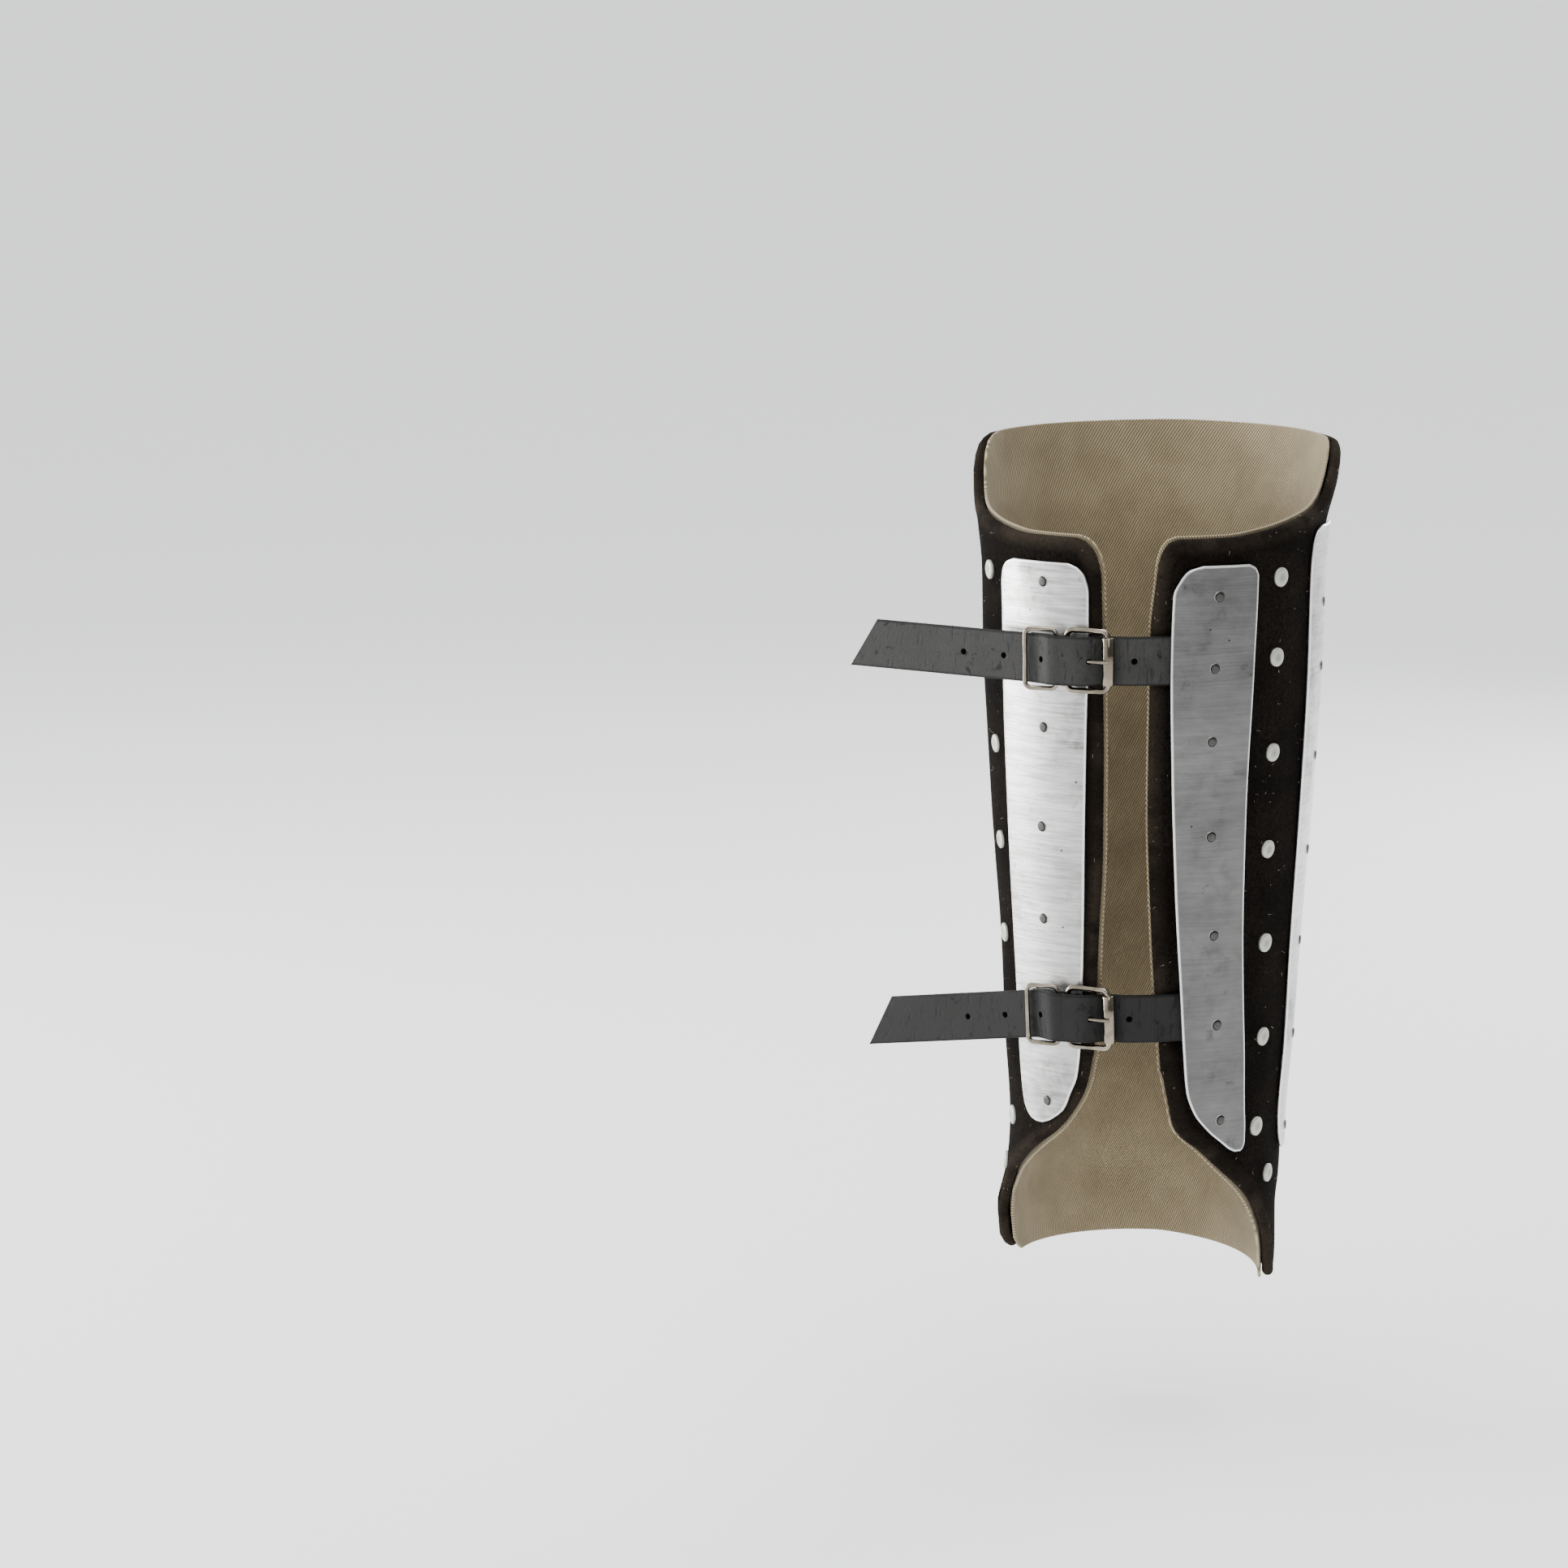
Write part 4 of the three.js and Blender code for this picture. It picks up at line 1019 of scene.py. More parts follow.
@dataclass(frozen=True)
class RivetSteel:
    """The end of a rivet: a centre, a ring and a rim, each in a colour of its own; on the peened ends
    the dark ring is painted shade and the pale rim a painted highlight.
    """

    name: str
    centre: tuple
    ring: tuple
    rim: tuple
    rough: float
    metal: float = 1.0
    ring_from: tuple = (0.18, 0.72)
    rim_from: tuple = (0.72, 0.95)

    def material(self, effects: Effects) -> bpy.types.Material:
        """Builds the finish.

        Args:
            effects: The shared node groups.

        Returns:
            The material.
        """
        coat = Coat(self.name, effects)
        graph = coat.graph
        out = graph.add("ShaderNodeAttribute", attribute_name="ring").outputs["Fac"]
        clouds = coat.patches(900.0, 1.6)
        inner = graph.between(out, *self.ring_from, 0.0, 1.0)
        outer = graph.between(out, *self.rim_from, 0.0, 1.0)
        base = graph.blend(outer, graph.blend(inner, self.centre, self.ring), self.rim)
        coat.set(
            Base_Color=graph.blend(graph.math("MULTIPLY", clouds, 0.35), base, self.ring),
            Metallic=self.metal,
            Roughness=graph.between(clouds, 0.2, 0.8, self.rough - 0.08, self.rough + 0.1),
        )
        coat.bump(clouds, 0.06)
        return coat.material


@dataclass(frozen=True)
class BeltLeather:
    """Matte black strap leather, creased across, scuffed in patches."""

    black: tuple = colour(0.010, 0.010, 0.0098)
    grey: tuple = colour(0.048, 0.047, 0.045)
    edge: tuple = colour(0.006, 0.0058, 0.0055)

    def material(self, effects: Effects) -> bpy.types.Material:
        """Builds the finish.

        Args:
            effects: The shared node groups.

        Returns:
            The material.
        """
        coat = Coat("belt leather", effects)
        graph = coat.graph
        creases = coat.use(
            effects.streaks, {"Vector": coat.flat, "Stretch": (640.0, 95.0, 1.0)}
        )
        value, fine = creases.outputs
        grain = coat.patches(1500.0, 1.4)
        scuffs = coat.patches(48.0, 1.4)
        scraped = graph.between(coat.patches(150.0, 3.0), 0.80, 0.98, 0.0, 0.8)
        worn = coat.use(
            effects.edge, {"Distance": coat.rim(), "Reach": 0.9, "Breakup": 0.7, "Patches": grain}
        ).outputs[0]
        lines = graph.between(value, 0.54, 0.68, 0.0, 1.0)
        dusty = graph.between(scuffs, 0.3, 0.8, 0.2, 0.5)
        tone = graph.math("ADD", graph.math("MULTIPLY", grain, 0.5), dusty, clamp=True)
        # The strap's tone attribute is painted shade: below one it darkens the whole strap.
        painted_strap_shade = graph.add("ShaderNodeAttribute", attribute_name="tone").outputs["Fac"]
        base = graph.blend(graph.math("MULTIPLY", tone, painted_strap_shade), self.black, self.grey)
        # The crease lines are darkened: painted shade in the creases.
        creased = graph.blend(graph.math("MULTIPLY", lines, 0.5), base, self.edge)
        marked = graph.blend(scraped, creased, self.edge)
        coat.set(
            Base_Color=graph.blend(graph.math("MULTIPLY", worn, 0.8), marked, self.edge),
            Roughness=graph.between(scuffs, 0.2, 0.8, 0.56, 0.74),
            Specular_IOR_Level=0.13,
        )
        pores = graph.math("MULTIPLY", grain, 0.5)
        relief = graph.math("SUBTRACT", pores, graph.math("MULTIPLY", lines, 0.9))
        coat.bump(graph.math("ADD", relief, graph.math("MULTIPLY", fine, 0.3)), 0.2)
        return coat.material


@dataclass(frozen=True)
class Nickel:
    """Polished nickel plate with hairline scratches, its colour kept low and clouded darker as painted
    dark reflections.
    """

    bright: tuple = colour(0.29, 0.252, 0.200)
    dark_reflection: tuple = colour(0.12, 0.10, 0.075)

    def material(self, effects: Effects) -> bpy.types.Material:
        """Builds the finish.

        Args:
            effects: The shared node groups.

        Returns:
            The material.
        """
        coat = Coat("nickel", effects)
        graph = coat.graph
        streaks = coat.use(
            effects.streaks, {"Vector": coat.place, "Stretch": (900.0, 900.0, 260.0)}
        )
        value, fine = streaks.outputs
        clouds = coat.patches(70.0, 1.6)
        # The low colour and the darker clouds are painted reflection: they stand for dark reflections
        # in the metal.
        base = graph.blend(graph.between(clouds, 0.3, 0.75, 0.0, 0.85), self.bright, self.dark_reflection)
        coat.set(
            Base_Color=base,
            Metallic=1.0,
            Roughness=graph.math(
                "ADD", graph.between(clouds, 0.3, 0.8, 0.03, 0.10), graph.math("MULTIPLY", value, 0.05)
            ),
        )
        coat.bump(fine, 0.012)
        return coat.material


class Finishes:
    """Every material of the greave."""

    def __init__(self) -> None:
        """Builds them from the shared effects."""
        effects = Effects()
        self.suede = Suede().material(effects)
        nap = Fibre("suede nap", colour(0.002, 0.0016, 0.0013), colour(0.095, 0.078, 0.060))
        lint = Fibre("lint", colour(0.18, 0.155, 0.12), colour(0.75, 0.69, 0.58))
        fuzz = Fibre("cut leather fibres", colour(0.006, 0.006, 0.006), colour(0.06, 0.058, 0.055))
        # The near-black finish for the hole walls and floors is painted shade, where the holes would
        # lie in shadow.
        hole_shade = Fibre("painted hole shade", colour(0.001, 0.001, 0.001), colour(0.004, 0.004, 0.004))
        self.fuzz, self.hole_shade = fuzz.material(effects), hole_shade.material(effects)
        self.nap, self.lint = nap.material(effects), lint.material(effects)
        self.twill = Twill().material(effects)
        self.steel = BrushedSteel().material(effects)
        # On the peened ends the dark ring is painted shade round the dome and the pale rim a painted
        # highlight.
        self.peened = RivetSteel(
            "peened rivet",
            centre=colour(0.085, 0.085, 0.08),
            ring=colour(0.014, 0.014, 0.013),
            rim=colour(0.60, 0.60, 0.58),
            rough=0.4,
            ring_from=(0.66, 0.80),
            rim_from=(0.88, 0.97),
        ).material(effects)
        self.disc = RivetSteel(
            "disc rivet",
            centre=colour(0.27, 0.27, 0.235),
            ring=colour(0.46, 0.46, 0.41),
            rim=colour(0.42, 0.42, 0.38),
            rough=0.5,
            metal=0.85,
        ).material(effects)
        self.belt = BeltLeather().material(effects)
        self.nickel = Nickel().material(effects)


# Repeated parts

class Head(Enum):
    """The kinds of rivet head, with their tree's name."""

    PEENED = "peened heads"
    DISC = "disc heads"


PROFILES: dict[Head, tuple[tuple[float, float], ...]] = {
    Head.PEENED: ((0.0, 0.96), (0.3, 1.0), (0.6, 0.93), (0.8, 0.72), (0.92, 0.4), (1.0, 0.02)),
    Head.DISC: ((0.0, 0.80), (0.10, 0.84), (0.2, 0.97), (0.6, 1.0), (0.86, 0.94), (1.0, 0.62)),
}


def head_tree(kind: Head) -> bpy.types.NodeTree:
    """A tree that sets a turned rivet head on every point, along the attribute facing.

    Args:
        kind: Which profile its heads have.

    Returns:
        The tree, with named inputs for its sizes, seed and material.
    """
    tree = bpy.data.node_groups.new(kind.value, "GeometryNodeTree")
    tree.interface.new_socket("Points", in_out="INPUT", socket_type="NodeSocketGeometry")
    for title, default in (("Radius", 0.002), ("Height", 0.001), ("Wobble", 0.05)):
        socket = tree.interface.new_socket(title, in_out="INPUT", socket_type="NodeSocketFloat")
        socket.default_value = default
    for title, default in (("Sides", 28), ("Seed", SEED)):
        socket = tree.interface.new_socket(title, in_out="INPUT", socket_type="NodeSocketInt")
        socket.default_value = default
    tree.interface.new_socket("Material", in_out="INPUT", socket_type="NodeSocketMaterial")
    tree.interface.new_socket("Geometry", in_out="OUTPUT", socket_type="NodeSocketGeometry")
    graph = Graph(tree)
    given = graph.add("NodeGroupInput").outputs
    blank = graph.add(
        "GeometryNodeMeshCylinder",
        {"Vertices": given["Sides"], "Side Segments": 2, "Fill Segments": 7,
         "Radius": given["Radius"], "Depth": given["Height"]},
    )
    split = graph.add("ShaderNodeSeparateXYZ", {0: graph.add("GeometryNodeInputPosition").outputs[0]})
    x, y, z = split.outputs
    squares = graph.math("ADD", graph.math("MULTIPLY", x, x), graph.math("MULTIPLY", y, y))
    out = graph.math("DIVIDE", graph.math("SQRT", squares), given["Radius"], clamp=True)
    profile = graph.add("ShaderNodeFloatCurve", {"Value": out})
    curve = profile.mapping.curves[0]
    knots = PROFILES[kind]
    curve.points[0].location, curve.points[1].location = knots[0], knots[-1]
    for knot in knots[1:-1]:
        curve.points.new(*knot)
    profile.mapping.update()
    top = graph.math("GREATER_THAN", z, 0.00001)
    raised = graph.math("MULTIPLY", profile.outputs[0], given["Height"])
    lifted = graph.math("MULTIPLY", top, raised)
    kept = graph.math("MULTIPLY", graph.math("SUBTRACT", 1.0, top), z)
    moved = graph.add(
        "ShaderNodeCombineXYZ", {0: x, 1: y, 2: graph.math("ADD", lifted, kept)}
    ).outputs[0]
    shaped = graph.add("GeometryNodeSetPosition", {"Geometry": blank.outputs[0], "Position": moved})
    marked = graph.add(
        "GeometryNodeStoreNamedAttribute",
        {"Geometry": shaped.outputs[0], "Name": "ring", "Value": out},
        data_type="FLOAT",
        domain="POINT",
    )
    facing = graph.add(
        "GeometryNodeInputNamedAttribute", {"Name": "facing"}, data_type="FLOAT_VECTOR"
    )
    aligned = graph.add(
        "FunctionNodeAlignRotationToVector", {"Vector": facing.outputs[0]}, axis="Z"
    )
    spin = graph.add(
        "FunctionNodeRandomValue", {2: 0.0, 3: 6.283, "Seed": given["Seed"]}, data_type="FLOAT"
    )
    turn = graph.add(
        "FunctionNodeEulerToRotation",
        {0: graph.add("ShaderNodeCombineXYZ", {2: spin.outputs[1]}).outputs[0]},
    )
    turned = graph.add(
        "FunctionNodeRotateRotation",
        {0: aligned.outputs[0], 1: turn.outputs[0]},
        rotation_space="LOCAL",
    )
    size = graph.add(
        "FunctionNodeRandomValue",
        {2: graph.math("SUBTRACT", 1.0, given["Wobble"]), 3: graph.math("ADD", 1.0, given["Wobble"]),
         "Seed": graph.math("ADD", given["Seed"], 1)},
        data_type="FLOAT",
    )
    placed = graph.add(
        "GeometryNodeInstanceOnPoints",
        {"Points": given["Points"], "Instance": marked.outputs[0], "Rotation": turned.outputs[0],
         "Scale": size.outputs[1]},
    )
    real = graph.add("GeometryNodeRealizeInstances", {0: placed.outputs[0]})
    smooth = graph.add("GeometryNodeSetShadeSmooth", {0: real.outputs[0]})
    dressed = graph.add(
        "GeometryNodeSetMaterial", {"Geometry": smooth.outputs[0], "Material": given["Material"]}
    )
    graph.add("NodeGroupOutput", {0: dressed.outputs[0]})
    return tree


def fibre_tree() -> bpy.types.NodeTree:
    """A tree that scatters short leaning fibres over a surface.

    Returns:
        The tree, with named inputs for its sizes, seed and material.
    """
    tree = bpy.data.node_groups.new("fibres", "GeometryNodeTree")
    tree.interface.new_socket("Surface", in_out="INPUT", socket_type="NodeSocketGeometry")
    for title, default in (("Density", 1000.0), ("Length", 0.001), ("Width", 0.0001), ("Lean", 1.0)):
        socket = tree.interface.new_socket(title, in_out="INPUT", socket_type="NodeSocketFloat")
        socket.default_value = default
    socket = tree.interface.new_socket("Seed", in_out="INPUT", socket_type="NodeSocketInt")
    socket.default_value = SEED
    tree.interface.new_socket("Material", in_out="INPUT", socket_type="NodeSocketMaterial")
    tree.interface.new_socket("Geometry", in_out="OUTPUT", socket_type="NodeSocketGeometry")
    graph = Graph(tree)
    given = graph.add("NodeGroupInput").outputs
    points = graph.add(
        "GeometryNodeDistributePointsOnFaces",
        {"Mesh": given["Surface"], "Density": given["Density"], "Seed": given["Seed"]},
    )
    blade = graph.add(
        "GeometryNodeMeshCone",
        {"Vertices": 3, "Side Segments": 1, "Radius Top": 0.0, "Radius Bottom": given["Width"],
         "Depth": given["Length"]},
        fill_type="NONE",
    )
    rooted = graph.add(
        "GeometryNodeTransform",
        {"Geometry": blade.outputs[0],
         "Translation": graph.add("ShaderNodeCombineXYZ", {2: -0.0002}).outputs[0]},
    )
    lean = graph.math("MULTIPLY", given["Lean"], -1.0)
    low = graph.add("ShaderNodeCombineXYZ", {0: lean, 1: lean, 2: 0.0}).outputs[0]
    high = graph.add("ShaderNodeCombineXYZ", {0: given["Lean"], 1: given["Lean"], 2: 6.283}).outputs[0]
    tilt = graph.add(
        "FunctionNodeRandomValue", {0: low, 1: high, "Seed": given["Seed"]}, data_type="FLOAT_VECTOR"
    )
    turn = graph.add("FunctionNodeEulerToRotation", {0: tilt.outputs[0]})
    turned = graph.add(
        "FunctionNodeRotateRotation",
        {0: points.outputs["Rotation"], 1: turn.outputs[0]},
        rotation_space="LOCAL",
    )
    size = graph.add(
        "FunctionNodeRandomValue", {2: 0.35, 3: 1.0, "Seed": given["Seed"]}, data_type="FLOAT"
    )
    placed = graph.add(
        "GeometryNodeInstanceOnPoints",
        {"Points": points.outputs[0], "Instance": rooted.outputs[0], "Rotation": turned.outputs[0],
         "Scale": size.outputs[1]},
    )
    real = graph.add("GeometryNodeRealizeInstances", {0: placed.outputs[0]})
    dressed = graph.add(
        "GeometryNodeSetMaterial", {"Geometry": real.outputs[0], "Material": given["Material"]}
    )
    graph.add("NodeGroupOutput", {0: dressed.outputs[0]})
    return tree


def grown(
    host: bpy.types.Object, tree: bpy.types.NodeTree, name: str, inputs: dict[str, Any]
) -> bpy.types.Object:
    """Runs a tree on a host and keeps its result as a plain mesh object.

    Args:
        host: The object that the tree reads.
        tree: The geometry tree.
        name: The new object's name.
        inputs: Values of the tree's named inputs.

    Returns:
        The new object. The host loses the modifier.
    """
    modifier = host.modifiers.new("grow", "NODES")
    modifier.node_group = tree
    sockets = {
        item.name: item.identifier
        for item in tree.interface.items_tree
        if item.item_type == "SOCKET" and item.in_out == "INPUT"
    }
    for title, value in inputs.items():
        modifier[sockets[title]] = value
    graph = bpy.context.evaluated_depsgraph_get()
    mesh = bpy.data.meshes.new_from_object(host.evaluated_get(graph))
    host.modifiers.remove(modifier)
    mesh.name = name
    made = bpy.data.objects.new(name, mesh)
    bpy.context.scene.collection.objects.link(made)
    return made


@dataclass
class RivetRow:
    """A group of rivet heads in one piece."""

    name: str
    kind: Head
    radius: float
    height: float
    material: bpy.types.Material
    seats: list[tuple[float, float, float]] = field(default_factory=list)

    def build(self, trees: dict[Head, bpy.types.NodeTree]) -> bpy.types.Object:
        """Sets the heads on their seats.

        Args:
            trees: The geometry tree of each kind of head.

        Returns:
            The heads as one object.
        """
        azimuths, heights, offsets = (np.array(values) for values in zip(*self.seats))
        points = FORM.point(azimuths, heights, 0) + FORM.outward(azimuths, heights) * offsets[:, None]
        mesh = bpy.data.meshes.new(self.name + "_seats")
        mesh.from_pydata((points * MM).tolist(), [], [])
        facing = mesh.attributes.new("facing", "FLOAT_VECTOR", "POINT")
        facing.data.foreach_set("vector", FORM.outward(azimuths, heights).ravel())
        host = bpy.data.objects.new(self.name + "_seats", mesh)
        bpy.context.scene.collection.objects.link(host)
        inputs = {
            "Radius": self.radius * MM,
            "Height": self.height * MM,
            "Wobble": 0.04,
            "Sides": 28,
            "Seed": SEED,
            "Material": self.material,
        }
        made = grown(host, trees[self.kind], self.name, inputs)
        bpy.data.objects.remove(host)
        return made


@dataclass(frozen=True)
class FibreCoat:
    """Fibres over a surface: how many for each square metre, and their sizes in millimetres."""

    name: str
    density: float
    length: float
    width: float
    lean: float

    def inputs(self, material: bpy.types.Material) -> dict[str, Any]:
        """The inputs of the fibres' tree, in metres."""
        return {
            "Density": self.density,
            "Length": self.length * MM,
            "Width": self.width * MM,
            "Lean": self.lean,
            "Seed": SEED,
            "Material": material,
        }


# Shell and lining

@dataclass
class Shell:
    """The suede shell and its canvas lining."""

    finishes: Finishes
    leather: float = 4.6
    roll: float = 2.3
    lining: float = 1.2
    lining_roll: float = 0.45
    lining_proud: float = 0.9
    lining_level: float = -5.75
    lining_cut: tuple[float, float] = (0.42, 0.31)
    corner_drop: float = 15.0
    corner_reach: float = 9.0
    opening: float = 12.0
    blend: float = 20.0
    near_reach: float = 58.0
    near_columns: int = 46
    far_columns: int = 56
    rows: int = 150
    swell: float = 0.22
    bed_gap: float = 0.12
    bed_ease: float = 3.2
    hair_level: float = -3.9
    nap: FibreCoat = FibreCoat("suede_nap", 230000.0, 1.1, 0.05, 1.2)
    lint: FibreCoat = FibreCoat("lint", 5200.0, 2.2, 0.085, 1.45)

    def columns(self) -> tuple[Array, Array]:
        """Places the grid's columns, closer together beside the opening.

        Returns:
            The side (-1 inner, 1 outer) and the azimuth from the back of each column.
        """
        shares = np.linspace(0, 1, self.near_columns) ** 1.5
        near = self.opening + self.near_reach * shares
        first = near[-1]
        far = np.linspace(first, 360 - first, self.far_columns + 2)[1:-1]
        side = np.concatenate([-np.ones(len(near)), np.where(far <= 180, -1, 1), np.ones(len(near))])
        return side, np.concatenate([near, np.where(far <= 180, far, 360 - far), near[::-1]])

    def grid(self, inset: float, offset: float) -> tuple[Array, Array]:
        """A grid over the shell.

        Args:
            inset: How far it is drawn in from the shell's edges.
            offset: Its distance from the form.

        Returns:
            Its points, and their places on the flat sheet.
        """
        side, azimuth = self.columns()
        inner, outer = Course(INNER_HEM), Course(OUTER_HEM)
        past = (azimuth - self.opening) * FORM.per_degree(side * azimuth, FORM.height * COLLAR[0][1])
        low = np.where(side < 0, inner(azimuth), outer(azimuth)) * FORM.height + inset
        corner = Course(CORNER)(past / self.corner_reach) * self.corner_drop
        high = Course(COLLAR)(azimuth) * FORM.height - corner - inset
        shares = 0.5 - 0.5 * np.cos(np.pi * np.linspace(0, 1, self.rows))
        z = low[:, None] + (high - low)[:, None] * shares
        fade = np.maximum(0, 1 - (azimuth - self.opening) / self.blend) ** 2
        edge = np.where(
            side[:, None] < 0,
            Course(INNER_OPENING)(z / FORM.height),
            Course(OUTER_OPENING)(z / FORM.height),
        )
        turned = side[:, None] * (azimuth[:, None] + (edge - self.opening) * fade[:, None])
        drawn = inset * np.exp(-((past / 8) ** 2))[:, None] / FORM.per_degree(turned, z)
        turned = turned + side[:, None] * drawn
        points = FORM.point(turned, z, offset)
        round_the_front = np.where(turned < 0, turned + 360, turned)
        flat = np.stack([np.radians(round_the_front) * FORM.width / 2, z], axis=-1)
        return points, flat

    def waves(self, points: Array) -> Array:
        """Slow swells of hand-cut leather.

        Args:
            points: The shell's points.

        Returns:
            How far each point is moved out.
        """
        x, y, z = np.moveaxis(points, -1, 0)
        angle = np.arctan2(x, -y)
        return self.swell * (
            np.sin(z / 19 + 2 * angle) * np.sin(3 * angle + z / 53)
            + 0.6 * np.sin(z / 8.3 - 5 * angle + 1.3) * np.sin(7 * angle + 0.4)
        )

    def press(self, points: Array, strap: "Strap") -> Array:
        """Presses a soft bed for a strap into the outer face.

        Args:
            points: The shell's points.
            strap: The strap that lies in the bed.

        Returns:
            The points, moved inwards under the strap.
        """
        azimuth, offset = FORM.read(points)
        bed = np.array(strap.bed())
        level = np.interp(azimuth, bed[:, 0], bed[:, 1]) - strap.thickness / 2 - self.bed_gap
        beside = np.abs(points[:, 2] - strap.z) - strap.width / 2
        share = np.clip(1 - (beside - 0.4) / self.bed_ease, 0, 1)
        ends = np.clip((bed[-1, 0] + 2 - azimuth) / 2, 0, 1) * (azimuth > bed[0, 0] - 4)
        share = share * share * (3 - 2 * share) * ends
        depth = np.maximum(0, offset - level) * share
        return points - FORM.outward(azimuth, points[:, 2]) * depth[:, None]

    def build(self, fibres: bpy.types.NodeTree, straps: Sequence["Strap"]) -> None:
        """Makes the shell, its nap and the lining, and reports them.

        Args:
            fibres: The geometry tree of the nap and the lint.
            straps: The straps whose beds are pressed into the shell.
        """
        points, flat = self.grid(0, -self.leather / 2)
        points = points + grid_normals(points) * self.waves(points)[..., None]
        shell = rounded_wall(points, self.leather, self.roll, flat, steps=10)
        for strap in straps:
            shell.points = self.press(shell.points, strap)
        body = shell.to_object("suede_shell", self.finishes.suede)
        report(body, "suede", "shell")
        self.hairs(shell, fibres)
        points, flat = self.grid(-self.lining_proud, self.lining_level)
        lining = rounded_wall(points, self.lining, self.lining_roll, flat, steps=6)
        canvas = lining.to_object("canvas_lining", self.finishes.twill)
        report(canvas, "twill", "lining")
    def hairs(self, shell: Surface, fibres: bpy.types.NodeTree) -> None:
        """Grows the nap and scatters the lint over the outer face and the edges.

        Args:
            shell: The shell's surface.
            fibres: The geometry tree of the fibres.
        """
        offset = FORM.read(shell.points)[1]
        open_faces = [face for face in shell.faces if offset[list(face)].max() > self.hair_level]
        host = Surface(shell.points, open_faces).to_object("nap_bed", None)
        for coat, material in ((self.nap, self.finishes.nap), (self.lint, self.finishes.lint)):
            report(grown(host, fibres, coat.name, coat.inputs(material)), "suede")
        bpy.data.objects.remove(host)


# Splints

@dataclass
class Splint:
    """A steel splint and its peened rivets."""

    name: str
    outline: Sequence[Row]
    rivets: Sequence[Row]
    # How bright the steel is painted at the plate's near and far edge: painted light and shade.
    polish: tuple[float, float] = (1.0, 1.0)
    raised: tuple[int, ...] = ()
    steel: float = 1.4
    seat: float = 0.6
    roll: float = 0.5
    chape_top: float = 6.1
    rivet_radius: float = 2.3
    rivet_height: float = 0.7

    def build(self, finishes: Finishes, trees: dict[Head, bpy.types.NodeTree]) -> None:
        """Makes the plate and its rivets, and reports them.

        Args:
            finishes: The greave's materials.
            trees: The geometry tree of each kind of head.
        """
        shares = 0.5 - 0.5 * np.cos(np.pi * np.linspace(0, 1, 120))
        low, high = self.outline[0][0], self.outline[-1][0]
        height = low + (high - low) * shares
        start, end = Course(self.outline, 1)(height), Course(self.outline, 2)(height)
        across = np.linspace(0, 1, 26)[:, None]
        azimuth = start + (end - start) * across
        z = np.broadcast_to(height * FORM.height, azimuth.shape)
        points = FORM.point(azimuth, z, self.seat + self.steel / 2)
        flat = np.stack([np.radians(azimuth) * FORM.width / 2, z], axis=-1)
        wall = rounded_wall(points, self.steel, self.roll, flat, steps=6)
        plate = wall.to_object(f"plate_{self.name}", finishes.steel)
        mark(plate, "polish", self.painted_brightness(wall.points))
        report(plate, "splint_steel", f"splint_{self.name}")
        face = self.seat + self.steel
        seats = [
            (azimuth, share * FORM.height, self.chape_top if k in self.raised else face)
            for k, (share, azimuth) in enumerate(self.rivets)
        ]
        row = RivetRow(
            f"rivets_{self.name}",
            Head.PEENED,
            self.rivet_radius,
            self.rivet_height,
            finishes.peened,
            seats,
        )
        report(row.build(trees), "splint_steel")

    def painted_brightness(self, points: Array) -> Array:
        """The painted light and shade of the steel, from the plate's near edge to its far one.

        Args:
            points: The plate's points.

        Returns:
            The painted brightness at each point.
        """
        share = points[:, 2] / FORM.height
        near, far = Course(self.outline, 1)(share), Course(self.outline, 2)(share)
        turn = (FORM.read(points)[0] - near + 180) % 360 - 180
        across = np.clip(turn / (far - near), 0, 1)
        eased = across * across * (3 - 2 * across)
        return self.polish[0] + (self.polish[1] - self.polish[0]) * eased


# Straps and buckles

